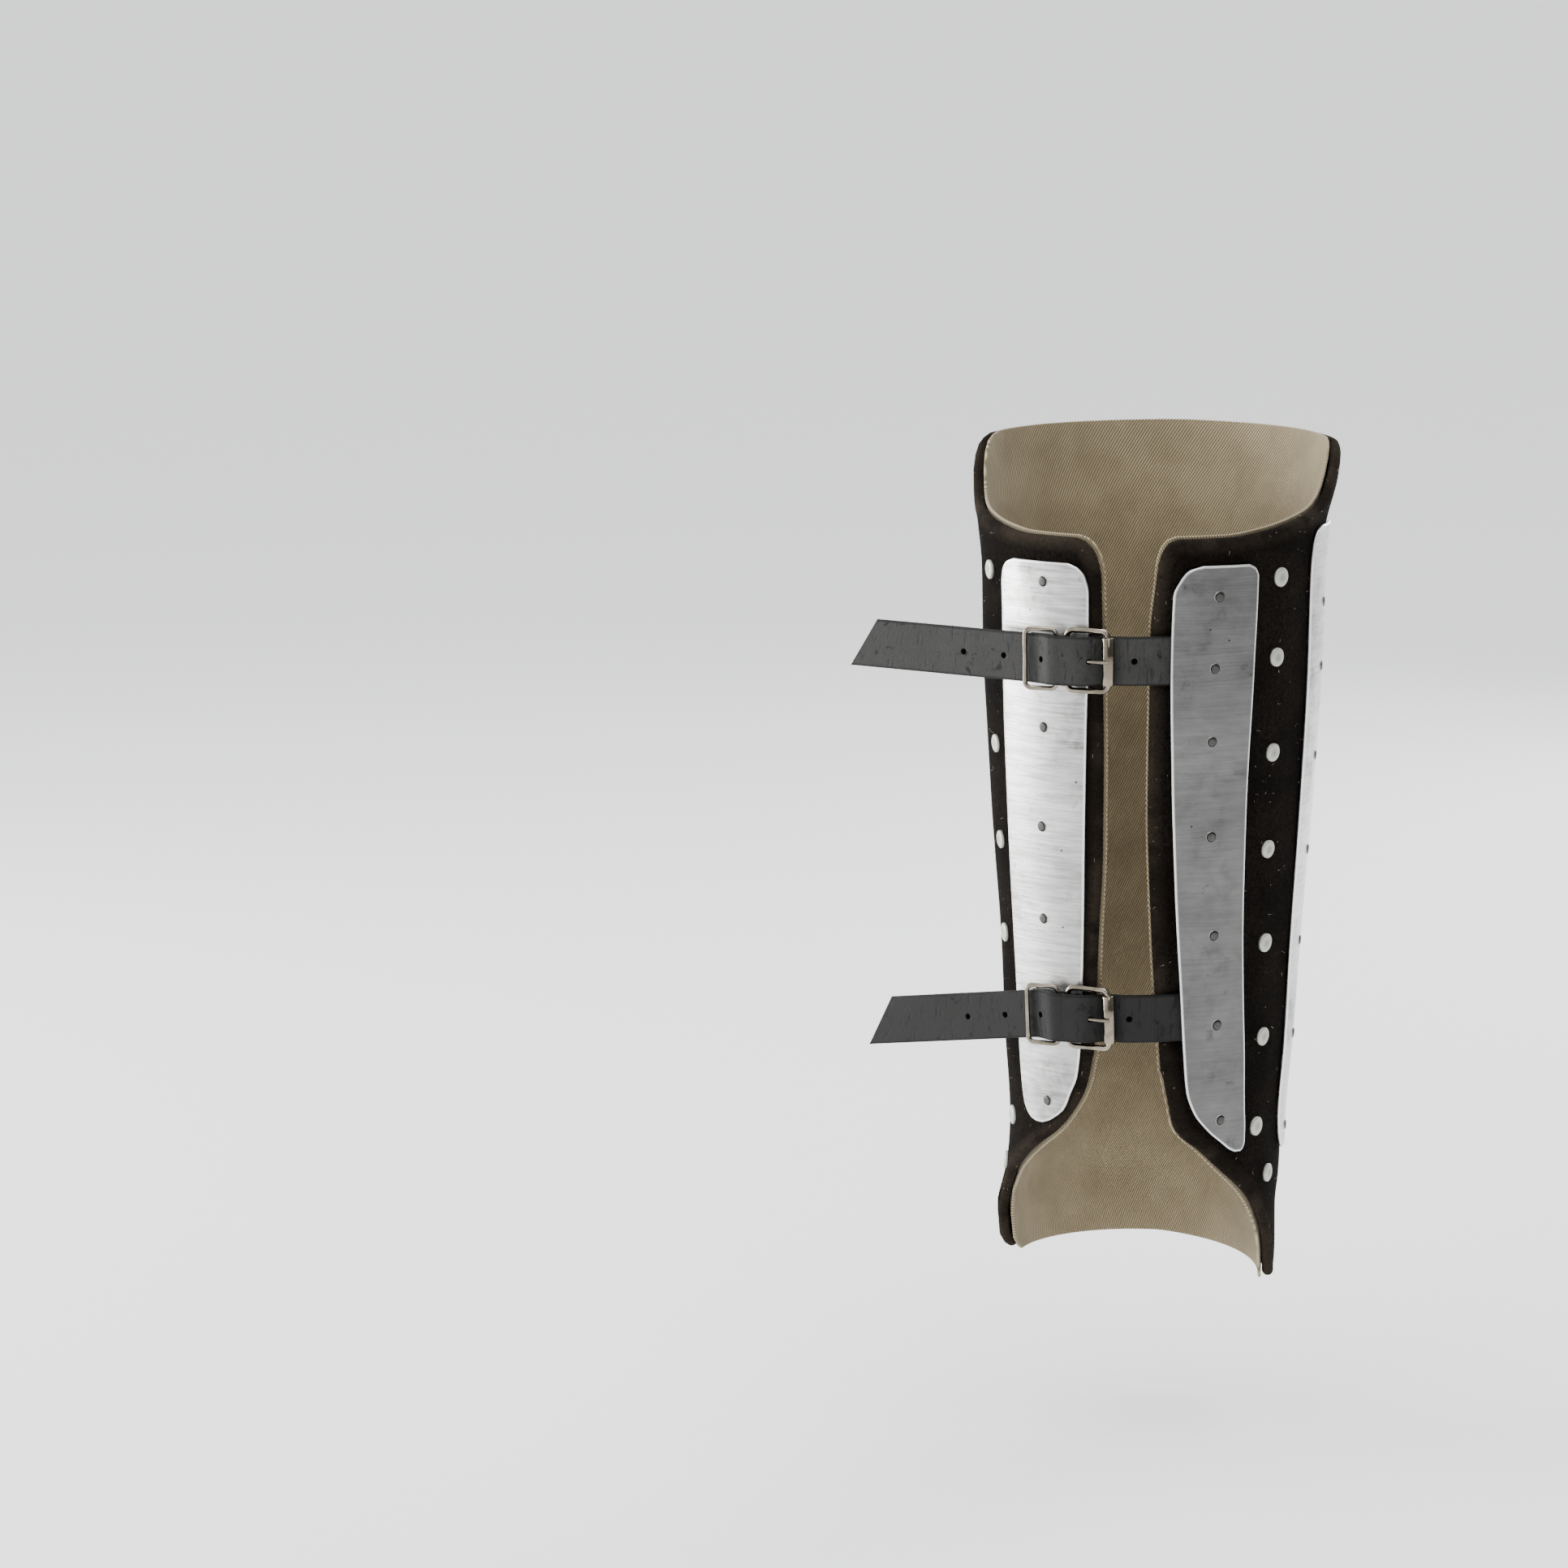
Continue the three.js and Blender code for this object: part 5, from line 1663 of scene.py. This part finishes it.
@dataclass
class Strap:
    """A strap, its buckle and its keeper, in the buckle's own flat frame."""

    name: str
    height: float
    azimuth: float
    tail: float
    droop: float
    rivet: int
    width: float = 20.0
    thickness: float = 2.0
    chape: float = 1.6
    wire: float = 1.15
    keeper_wire: float = 0.95
    prong: float = 0.85
    roller: float = 2.5
    roller_wall: float = 0.6
    buckle: float = 18.0
    corner: float = 3.0
    play: float = 1.1
    gap: float = 0.3
    seat: float = 0.6
    pin_play: float = 0.25
    keeper_arc: float = 23.5
    keeper_set_back: float = 4.4
    keeper_corner: float = 2.6
    chape_tail: float = 5.0
    chape_margin: float = 0.5
    chape_end_cut: float = 4.0
    end_cut: float = 14.0
    anchor: float = 25.0
    hole: float = 1.3
    rivet_hole: float = 2.6
    hole_floor: float = 0.43
    # How dark the whole strap is painted: painted shade, lower on the lower strap.
    tone: float = 1.0
    pitch: float = 20.0
    droop_start: float = 3.0
    crossing: float = 0.8
    tail_turn: float = 7.5

    def __post_init__(self) -> None:
        """Works out the buckle's frame and levels."""
        self.z = self.height * FORM.height
        self.origin = FORM.point(self.azimuth, self.z, 0)
        away = FORM.outward(self.azimuth, self.z) * (1, 1, 0)
        self.away = unit(away)
        self.along = np.array([-self.away[1], self.away[0], 0.0])
        half = self.width / 2
        rise = FORM.point(self.azimuth, self.z + half, 0) - FORM.point(self.azimuth, self.z - half, 0)
        self.lean = float(rise @ self.away / rise[2])
        self.upward = np.array([0, 0, 1.0]) + self.away * self.lean
        face = 2.0
        self.pin_x = -self.buckle / 2
        base = face - self.pin_x**2 / FORM.width + self.gap
        self.pin_y = base + self.chape + self.pin_play + self.wire
        self.fold_inner = self.wire + self.pin_play
        self.roller_y = self.pin_y + 0.6
        self.under_roller = self.roller_y - self.roller - self.seat - self.thickness / 2
        self.over_pin = self.pin_y + self.fold_inner + self.chape + self.seat + self.thickness / 2
        self.chape_top = face + 3 * self.gap + 2 * self.chape
        self.over_chape = self.chape_top + 0.7 + self.gap + self.thickness / 2
        self.keeper_back = base + self.chape + self.gap + self.keeper_wire
        self.splint_face = face
        self.buckle_half = self.width / 2 + self.play + self.wire

    def place(self, x: float, y: float, up: float = 0.0) -> Array:
        """A point of the buckle's frame: x round the leg, y outward, up along the strap's slope."""
        return self.origin + self.along * x + self.away * y + self.upward * up

    def round_the_pin(self, radius: float, turn: float) -> Array:
        """A point round the buckle's near bar, at a turn in degrees."""
        angle = math.radians(turn)
        x = self.pin_x + radius * math.cos(angle)
        return self.place(x, self.pin_y + radius * math.sin(angle))

    def keeper_azimuth(self) -> float:
        """Where the keeper's front bar lies."""
        return self.azimuth - self.keeper_arc / float(FORM.per_degree(self.azimuth - 9, self.z))

    def bed(self) -> list[tuple[float, float]]:
        """Where the tongue lies on the shell.

        Returns:
            Azimuths, and offsets of its middle line.
        """
        let_in = -self.gap - self.thickness / 2
        edge = float(Course(BACK_OUTER)(self.height))
        opening = float(Course(OUTER_OPENING)(self.height))
        step = 1 / float(FORM.per_degree(edge, self.z))
        anchored = edge + self.anchor * step
        return [
            (opening - 2 * step, self.thickness * 0.35),
            ((edge + opening) / 2, let_in * 0.45),
            (edge - step, let_in * 0.9),
            ((anchored + edge) / 2, let_in),
            (anchored, let_in),
        ]

    def tongue_route(self) -> Array:
        """Places the tongue's middle line up to the keeper.

        Returns:
            Its knots.
        """
        step = 1 / float(FORM.per_degree(float(Course(BACK_OUTER)(self.height)), self.z))
        keeper = self.keeper_azimuth()
        half = self.buckle / 2

        def flat(azimuth: float, offset: float) -> Array:
            """A point over the form at the strap's height."""
            return FORM.point(azimuth, self.z, offset)

        return np.array([
            *(flat(azimuth, offset) for azimuth, offset in reversed(self.bed())),
            self.place(half + 5.5, self.under_roller * 0.55),
            self.place(half, self.under_roller),
            self.place(half - 3.4, self.under_roller + 1.2),
            self.place(half - 6.6, (self.under_roller + self.over_pin) / 2 + 0.4),
            self.place(self.pin_x + 8.2, self.over_pin - 0.7),
            self.place(self.pin_x, self.over_pin),
            self.place(self.pin_x - 5.5, self.over_pin - 0.1),
            flat(keeper + 5 * step, self.over_chape + 0.4),
            flat(keeper, self.over_chape),
        ])

    def tongue_path(self) -> tuple[Array, float]:
        """Runs the tongue's middle line on to its tip.

        Returns:
            The line's points, and its length up to the keeper.
        """
        knots = self.tongue_route()
        curve = smooth_path(knots, 220)
        x, y, z = unit(knots[-1] - knots[-2])
        turn = math.radians(self.tail_turn)
        cosine, sine = math.cos(turn), math.sin(turn)
        heading = np.array([x * cosine - y * sine, x * sine + y * cosine, z])
        length = float(np.linalg.norm(np.diff(curve, axis=0), axis=1).sum())
        steps = np.linspace(0, self.tail, 110)[1:]
        return np.concatenate([curve, curve[-1] + heading * steps[:, None]]), length

    def ribbon(
        self,
        path: Array,
        thickness: float,
        width: float,
        end_cut: float,
        sink: Callable[[Array], Array],
    ) -> Surface:
        """A strap along a path, cut on a slant at its end.

        Args:
            path: Its middle line.
            thickness: The leather's thickness.
            width: The strap's width.
            end_cut: How much shorter it is along its top edge.
            sink: How far it hangs below its line at a length along it.

        Returns:
            A closed surface with rounded edges.
        """
        length = np.concatenate([[0], np.cumsum(np.linalg.norm(np.diff(path, axis=0), axis=1))])
        levels = np.linspace(-1, 1, 22)
        blend_from = length[-1] - 45 if end_cut > 5 else length[-1] - 6
        columns = []
        for level in levels:
            shorter = end_cut * (level + 1) / 2
            share = np.clip((length - blend_from) / (length[-1] - blend_from), 0, 1)
            at = length - share * shorter
            centre = np.stack([np.interp(at, length, path[:, k]) for k in range(3)], axis=-1)
            tangent = unit(np.gradient(centre, axis=0))
            out = unit(np.stack([-tangent[:, 1], tangent[:, 0], 0 * at], axis=-1))
            lean = out * self.lean * level * width / 2
            drop = np.stack([0 * at, 0 * at, level * width / 2 - sink(at)], axis=-1)
            columns.append(centre + lean + drop)
        grid = np.array(columns)
        flat = np.stack(np.broadcast_arrays(length, levels[:, None] * width / 2), axis=-1)
        return rounded_wall(grid, thickness, 0.5, flat, steps=6)

    def rod(
        self, start: Array, end: Array, radius: float, finish: bpy.types.Material | None = None
    ) -> bpy.types.Object:
        """A round cutting tool between two points, which leaves its finish on the cut."""
        path = start + (end - start) * np.linspace(0, 1, 4)[:, None]
        return tube(path, radius, np.array([0, 0, 1.0]), sides=20).to_object("tool", finish)

    def prong_path(self) -> Array:
        """Runs the prong from its eye round the near bar to its tip on the roller.

        Returns:
            The points of its middle line.
        """
        eye = self.wire + self.pin_play + self.prong
        top = self.pin_y + eye
        tip_y = self.roller_y + self.roller + self.gap + self.prong * 0.7
        half = self.buckle / 2
        knots = []
        for turn in (395, 350, 305, 260, 215, 170, 125):
            knots.append(self.round_the_pin(eye, turn))
        knots.append(self.place(self.pin_x, top))
        knots.append(self.place(self.pin_x + 3, top + 0.15))
        knots.append(self.place(0, (top + tip_y) / 2 - 0.3))
        knots.append(self.place(half - 3, tip_y - 0.2))
        knots.append(self.place(half + 1, tip_y))
        return smooth_path(np.array(knots), 90)

    def hole_places(self) -> list[tuple[Array, Array]]:
        """Places the strap's holes, counted from the one in use.

        Returns:
            The middle and the direction of each hole.
        """
        curve = smooth_path(self.tongue_route(), 29)
        path, to_keeper = self.tongue_path()
        length = np.concatenate([[0], np.cumsum(np.linalg.norm(np.diff(path, axis=0), axis=1))])
        coarse = np.concatenate([[0], np.cumsum(np.linalg.norm(np.diff(curve, axis=0), axis=1))])
        across = (curve - self.origin) @ self.along
        used = coarse[int(np.argmax(across < self.crossing))]
        places = []
        for count in (-1, 1, 2, 3):
            at = used + count * self.pitch
            point = np.array([np.interp(at, length, path[:, k]) for k in range(3)])
            ahead = np.array([np.interp(at + 0.5, length, path[:, k]) for k in range(3)])
            tangent = unit(ahead - point)
            point[2] -= self.sink(np.array([at]), to_keeper)[0]
            places.append((point, np.array([-tangent[1], tangent[0], 0.0])))
        return places

    def sink(self, at: Array, to_keeper: float) -> Array:
        """How far the drooping tail hangs below its line."""
        slope = math.tan(math.radians(self.droop))
        return np.maximum(0, at - to_keeper + self.droop_start) * slope

    def tongue(self, finishes: Finishes) -> bpy.types.Object:
        """Makes the long strap with its row of holes.

        Args:
            finishes: The greave's materials.

        Returns:
            The strap.
        """
        path, to_keeper = self.tongue_path()
        surface = self.ribbon(
            path, self.thickness, self.width, self.end_cut, lambda at: self.sink(at, to_keeper)
        )
        piece = surface.to_object(f"{self.name}_tongue", finishes.belt)
        # The holes stop short of the back, and their walls and floors take a near-black finish: painted
        # shade.
        tools = [
            self.rod(point + out * self.hole_floor, point + out * 3, self.hole, finishes.hole_shade)
            for point, out in self.hole_places()
        ]
        # The prong's slot takes the same painted shade.
        pin = tube(self.prong_path(), self.prong + 0.25, np.array([0, 0, 1.0]), sides=16)
        cut(piece, [*tools, pin.to_object("tool", finishes.hole_shade)])
        mark(piece, "tone", self.tone)
        return piece

    def frayed(self, finishes: Finishes, fibres: bpy.types.NodeTree) -> bpy.types.Object:
        """Stands cut fibres up along the top edge of the tail.

        Args:
            finishes: The greave's materials.
            fibres: The geometry tree of the fibres.

        Returns:
            The fibres as one object.
        """
        path, to_keeper = self.tongue_path()
        surface = self.ribbon(
            path, self.thickness, self.width, self.end_cut, lambda at: self.sink(at, to_keeper)
        )
        along, up = surface.uv.T
        top = (up > self.width / 2 - 0.7) & (surface.rim < -0.1) & (along > to_keeper + 4)
        faces = [face for face in surface.faces if top[list(face)].all()]
        host = Surface(surface.points, faces).to_object("edge_bed", None)
        coat = FibreCoat("edge_fibres", 1500000.0, 1.0, 0.06, 0.9)
        made = grown(host, fibres, f"{self.name}_{coat.name}", coat.inputs(finishes.fuzz))
        bpy.data.objects.remove(host)
        return made

    def chape_piece(self, finishes: Finishes) -> bpy.types.Object:
        """Makes the short strap, folded round the buckle's near bar.

        Args:
            finishes: The greave's materials.

        Returns:
            The strap.
        """
        ring = self.keeper_azimuth()
        step = 1 / float(FORM.per_degree(ring, self.z))
        end = ring - self.chape_tail * step
        lower = self.splint_face + self.gap + self.chape / 2
        upper = lower + self.chape + self.gap
        fold = self.fold_inner + self.chape / 2
        bump = self.pin_x - self.keeper_set_back
        under = self.keeper_back - self.keeper_wire - self.gap - self.chape / 2
        over = self.keeper_back + self.keeper_wire + self.chape / 2

        def ply(azimuth: float, offset: float) -> Array:
            """A point over the splint at the strap's height."""
            return FORM.point(azimuth, self.z, offset)

        knots = [
            ply(end + 2 * step, lower),
            ply((end + ring) / 2 + 2 * step, lower),
            ply(ring + 4 * step, lower),
            self.place(bump - 2, under - 0.25),
            self.place(bump, under),
            self.place(self.pin_x - 1, self.pin_y - fold),
        ]
        for turn in (-90, -60, -30, 0, 30, 60, 90):
            knots.append(self.round_the_pin(fold, turn))
        knots += [
            self.place(self.pin_x - 1.4, self.pin_y + fold - 0.05),
            self.place(bump, over + self.gap),
            self.place(bump - 1.6, over + self.gap / 2),
            ply(ring + 6.5 * step, upper + 0.7),
            ply(ring + 3 * step, upper),
            ply((end + ring) / 2, upper),
            ply(end, upper),
        ]
        path = smooth_path(np.array(knots), 170)
        surface = self.ribbon(
            path, self.chape, self.width - 2 * self.chape_margin, self.chape_end_cut, lambda at: 0 * at
        )
        piece = surface.to_object(f"{self.name}_chape", finishes.belt)
        reach = self.fold_inner + self.chape + 1
        slot_half = self.prong + self.gap
        slot = [
            self.place(self.pin_x + a * reach, self.pin_y + b * reach, c * slot_half)
            for a in (-1, 1) for b in (-1, 1) for c in (-1, 1)
        ]
        box_faces = [(0, 1, 3, 2), (4, 6, 7, 5), (0, 4, 5, 1), (2, 3, 7, 6), (0, 2, 6, 4), (1, 5, 7, 3)]
        block = Surface(np.array(slot), box_faces).to_object("tool", None)
        share, azimuth = mirrored(BACK_INNER_RIVETS)[self.rivet]
        seat = FORM.point(azimuth, share * FORM.height, 0)
        out = FORM.outward(azimuth, share * FORM.height)
        hole = self.rod(seat, seat + out * (self.chape_top + 3), self.rivet_hole)
        cut(piece, [block, hole])
        mark(piece, "tone", self.tone)
        return piece

    def ring(self, start: Array, end: Array, half: float, corner: float, radius: float) -> Surface:
        """Bends a wire into a rounded rectangle between two bars.

        Args:
            start: The first bar's x and y.
            end: The second bar's x and y.
            half: Half the rectangle's height.
            corner: The radius of its corners.
            radius: The wire's radius.

        Returns:
            The wire's surface.
        """
        run = end - start
        length = float(np.hypot(*run))
        ux, uy = run / length
        path = []
        centres = (
            (length - corner, half - corner, 0), (corner, half - corner, 90),
            (corner, corner - half, 180), (length - corner, corner - half, 270),
        )
        for cx, cz, turn in centres:
            for extra in np.linspace(0, 90, 9):
                angle = math.radians(turn + extra)
                x, y = start + np.array([ux, uy]) * (cx + corner * math.cos(angle))
                path.append(self.place(x, y, cz + corner * math.sin(angle)))
        points = np.array(path)
        filled = []
        for k, point in enumerate(points):
            after = points[(k + 1) % len(points)]
            filled.append(point)
            if np.linalg.norm(after - point) > 3:
                filled += [point + (after - point) * share for share in (0.25, 0.5, 0.75)]
        normal = unit(self.place(-uy, ux) - self.place(0, 0))
        return tube(np.array(filled), radius, normal, closed=True, sides=16)

    def build(self, finishes: Finishes, fibres: bpy.types.NodeTree) -> None:
        """Makes the strap's pieces and reports them.

        Args:
            finishes: The greave's materials.
            fibres: The geometry tree of the cut fibres.
        """
        report(self.tongue(finishes), "belt_leather", f"{self.name}_tongue_strap")
        report(self.frayed(finishes, fibres), "belt_leather")
        report(self.chape_piece(finishes), "belt_leather", f"{self.name}_buckle_strap")
        half = self.buckle / 2
        frame = self.ring(
            np.array([self.pin_x, self.pin_y]), np.array([half, self.roller_y]),
            self.buckle_half, self.corner, self.wire,
        )
        wire = frame.to_object(f"{self.name}_frame", finishes.nickel)
        report(wire, "nickel", f"{self.name}_buckle_frame")
        report(self.sleeve(finishes), "nickel", f"{self.name}_buckle_roller")
        path = self.prong_path()
        share = np.linspace(0, 1, len(path))
        pin = tube(path, self.prong * (1 - 0.3 * share**3), np.array([0, 0, 1.0]), sides=16)
        prong = pin.to_object(f"{self.name}_prong", finishes.nickel)
        report(prong, "nickel", f"{self.name}_buckle_prong")
        level = self.over_chape + self.thickness / 2 + 2 * self.gap + self.keeper_wire
        over = FORM.point(self.keeper_azimuth(), self.z, level) - self.origin
        keeper = self.ring(
            np.array([over @ self.along, over @ self.away]),
            np.array([self.pin_x - self.keeper_set_back, self.keeper_back]),
            self.buckle_half - self.wire + self.keeper_wire, self.keeper_corner, self.keeper_wire,
        )
        loop = keeper.to_object(f"{self.name}_loop", finishes.nickel)
        report(loop, "nickel", f"{self.name}_keeper")

    def sleeve(self, finishes: Finishes) -> bpy.types.Object:
        """Makes the loose sleeve on the buckle's far bar.

        Args:
            finishes: The greave's materials.

        Returns:
            The sleeve.
        """
        half = self.width / 2 - self.gap
        ease = 0.18
        inner = self.roller - self.roller_wall
        profile = [
            (inner, -half + ease), (inner + ease, -half), (self.roller - ease, -half),
            (self.roller, -half + ease), (self.roller, 0), (self.roller, half - ease),
            (self.roller - ease, half), (inner + ease, half), (inner, half - ease), (inner, 0),
        ]
        sides = 28
        points = []
        for k in range(sides):
            angle = 2 * math.pi * k / sides
            for radius, up in profile:
                x = self.buckle / 2 + radius * math.cos(angle)
                points.append(self.place(x, self.roller_y + radius * math.sin(angle), up))
        count = len(profile)
        faces = []
        for k in range(sides):
            n = (k + 1) % sides
            for j in range(count):
                m = (j + 1) % count
                faces.append((k * count + j, n * count + j, n * count + m, k * count + m))
        return Surface(np.array(points), faces).to_object(f"{self.name}_sleeve", finishes.nickel)


# Studio

@dataclass(frozen=True)
class Studio:
    """The camera, the lights and a plain pale floor below the greave."""

    eye: tuple = (0.392866, -2.537760, 0.578730)
    yaw: float = 12.1795
    pitch: float = -8.2802
    view_angle: float = 14.2736
    floor_level: float = -0.067
    floor_reach: float = 40.0
    shaded_from: tuple = (0.84, -0.54, 0.0)
    brightest: float = 1.9
    dimmest: float = 0.3

    def build(self) -> None:
        """Sets the studio up."""
        lens = bpy.data.cameras.new("camera")
        lens.sensor_fit = "AUTO"
        lens.angle = math.radians(self.view_angle)
        lens.clip_end = 200
        camera = bpy.data.objects.new("camera", lens)
        camera.location = self.eye
        camera.rotation_euler = (math.radians(90 + self.pitch), 0, math.radians(self.yaw))
        bpy.context.scene.collection.objects.link(camera)
        bpy.context.scene.camera = camera
        self.floor()
        self.light("left softbox", (-2.05, 0.2, 0.5), 1.2, 1.1, 66.0)
        self.light("top softbox", (0.1, -0.5, 2.2), 1.8, 1.8, 34.0)
        self.light("front softbox", (0.75, 2.0, 0.8), 1.0, 1.2, 26.0)
        self.light("fill", (1.0, -2.3, 1.7), 1.0, 1.0, 9.0)
        world = bpy.data.worlds.new("studio")
        world.use_nodes = True
        graph = Graph(world.node_tree)
        around = graph.add("ShaderNodeTexCoord").outputs["Generated"]
        facing = graph.add(
            "ShaderNodeVectorMath", {0: around, 1: self.shaded_from}, operation="DOT_PRODUCT"
        ).outputs["Value"]
        background = world.node_tree.nodes["Background"]
        background.inputs["Color"].default_value = (0.97, 0.98, 1.0, 1)
        strength = graph.between(facing, -0.2, 0.9, self.brightest, self.dimmest)
        world.node_tree.links.new(strength, background.inputs["Strength"])
        bpy.context.scene.world = world

    def floor(self) -> None:
        """A plain pale floor."""
        mesh = bpy.data.meshes.new("floor")
        r, z = self.floor_reach, self.floor_level
        mesh.from_pydata([(-r, -r, z), (r, -r, z), (r, r, z), (-r, r, z)], [], [(0, 1, 2, 3)])
        material = bpy.data.materials.new("pale floor")
        material.use_nodes = True
        shader = material.node_tree.nodes["Principled BSDF"]
        shader.inputs["Base Color"].default_value = (0.96, 0.96, 0.96, 1)
        shader.inputs["Roughness"].default_value = 0.9
        shader.inputs["Specular IOR Level"].default_value = 0.1
        mesh.materials.append(material)
        ground = bpy.data.objects.new("floor", mesh)
        bpy.context.scene.collection.objects.link(ground)

    def light(self, name: str, place: tuple, width: float, height: float, power: float) -> None:
        """Hangs a softbox that faces the greave.

        Args:
            name: Its name.
            place: Where it hangs, in metres.
            width: Its width.
            height: Its height.
            power: Its power in watts.
        """
        lamp = bpy.data.lights.new(name, "AREA")
        lamp.shape = "RECTANGLE"
        lamp.size = width
        lamp.size_y = height
        lamp.energy = power
        holder = bpy.data.objects.new(name, lamp)
        holder.location = place
        aim = Vector((0, 0, 0.18)) - Vector(place)
        holder.rotation_euler = aim.to_track_quat("-Z", "Y").to_euler()
        bpy.context.scene.collection.objects.link(holder)


# The pair of numbers after each plate's tables is how bright its steel is painted at the near and far
# edge. This is painted light and shade for the studio's reflections, and the inner side plate is
# painted dark so that its edge does not show white.
SPLINTS = (
    Splint("back_outer", BACK_OUTER, BACK_OUTER_RIVETS, polish=(0.19, 0.185)),
    Splint("back_inner", mirrored(BACK_INNER), mirrored(BACK_INNER_RIVETS), (0.66, 1.05), (1, 5)),
    Splint("side_outer", SIDE, SIDE_RIVETS, polish=(0.8, 0.9)),
    Splint(
        "side_inner",
        mirrored(SIDE, INNER_SIDE_SHIFT),
        mirrored(SIDE_RIVETS, INNER_SIDE_SHIFT),
        polish=(0.22, 0.22),
    ),
    Splint("front", FRONT, FRONT_RIVETS, polish=(0.6, 0.6)),
)
DISC_COLUMNS = {
    "back_outer": BACK_DISCS,
    "back_inner": mirrored(BACK_DISCS, BACK_INNER_DISC_SHIFT),
    "front_outer": FRONT_DISCS,
    "front_inner": mirrored(FRONT_DISCS),
}
STRAPS = (
    Strap("upper", height=0.7595, azimuth=-10.9, tail=90, droop=0, rivet=5),
    # The lower strap's tone of 0.3 paints it darker all over: painted shade.
    Strap("lower", height=0.337, azimuth=-12.1, tail=89, droop=9, rivet=1, tone=0.3),
)


def main() -> None:
    """Builds the greave piece by piece round its frame."""
    logging.basicConfig(level=logging.INFO, format="%(name)s %(message)s")
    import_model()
    Studio().build()
    finishes = Finishes()
    trees = {kind: head_tree(kind) for kind in Head}
    fibres = fibre_tree()
    Shell(finishes).build(fibres, STRAPS)
    for splint in SPLINTS:
        splint.build(finishes, trees)
    for name, rows in DISC_COLUMNS.items():
        seats = [(azimuth, share * FORM.height, 0.3) for share, azimuth in rows]
        row = RivetRow(f"discs_{name}", Head.DISC, 3.85, 1.0, finishes.disc, seats)
        nodes = [f"disc_{name}_{k + 1}" for k in range(len(rows))]
        report(row.build(trees), "disc_steel", *nodes)
    for strap in STRAPS:
        strap.build(finishes, fibres)


if __name__ == "__main__":
    main()
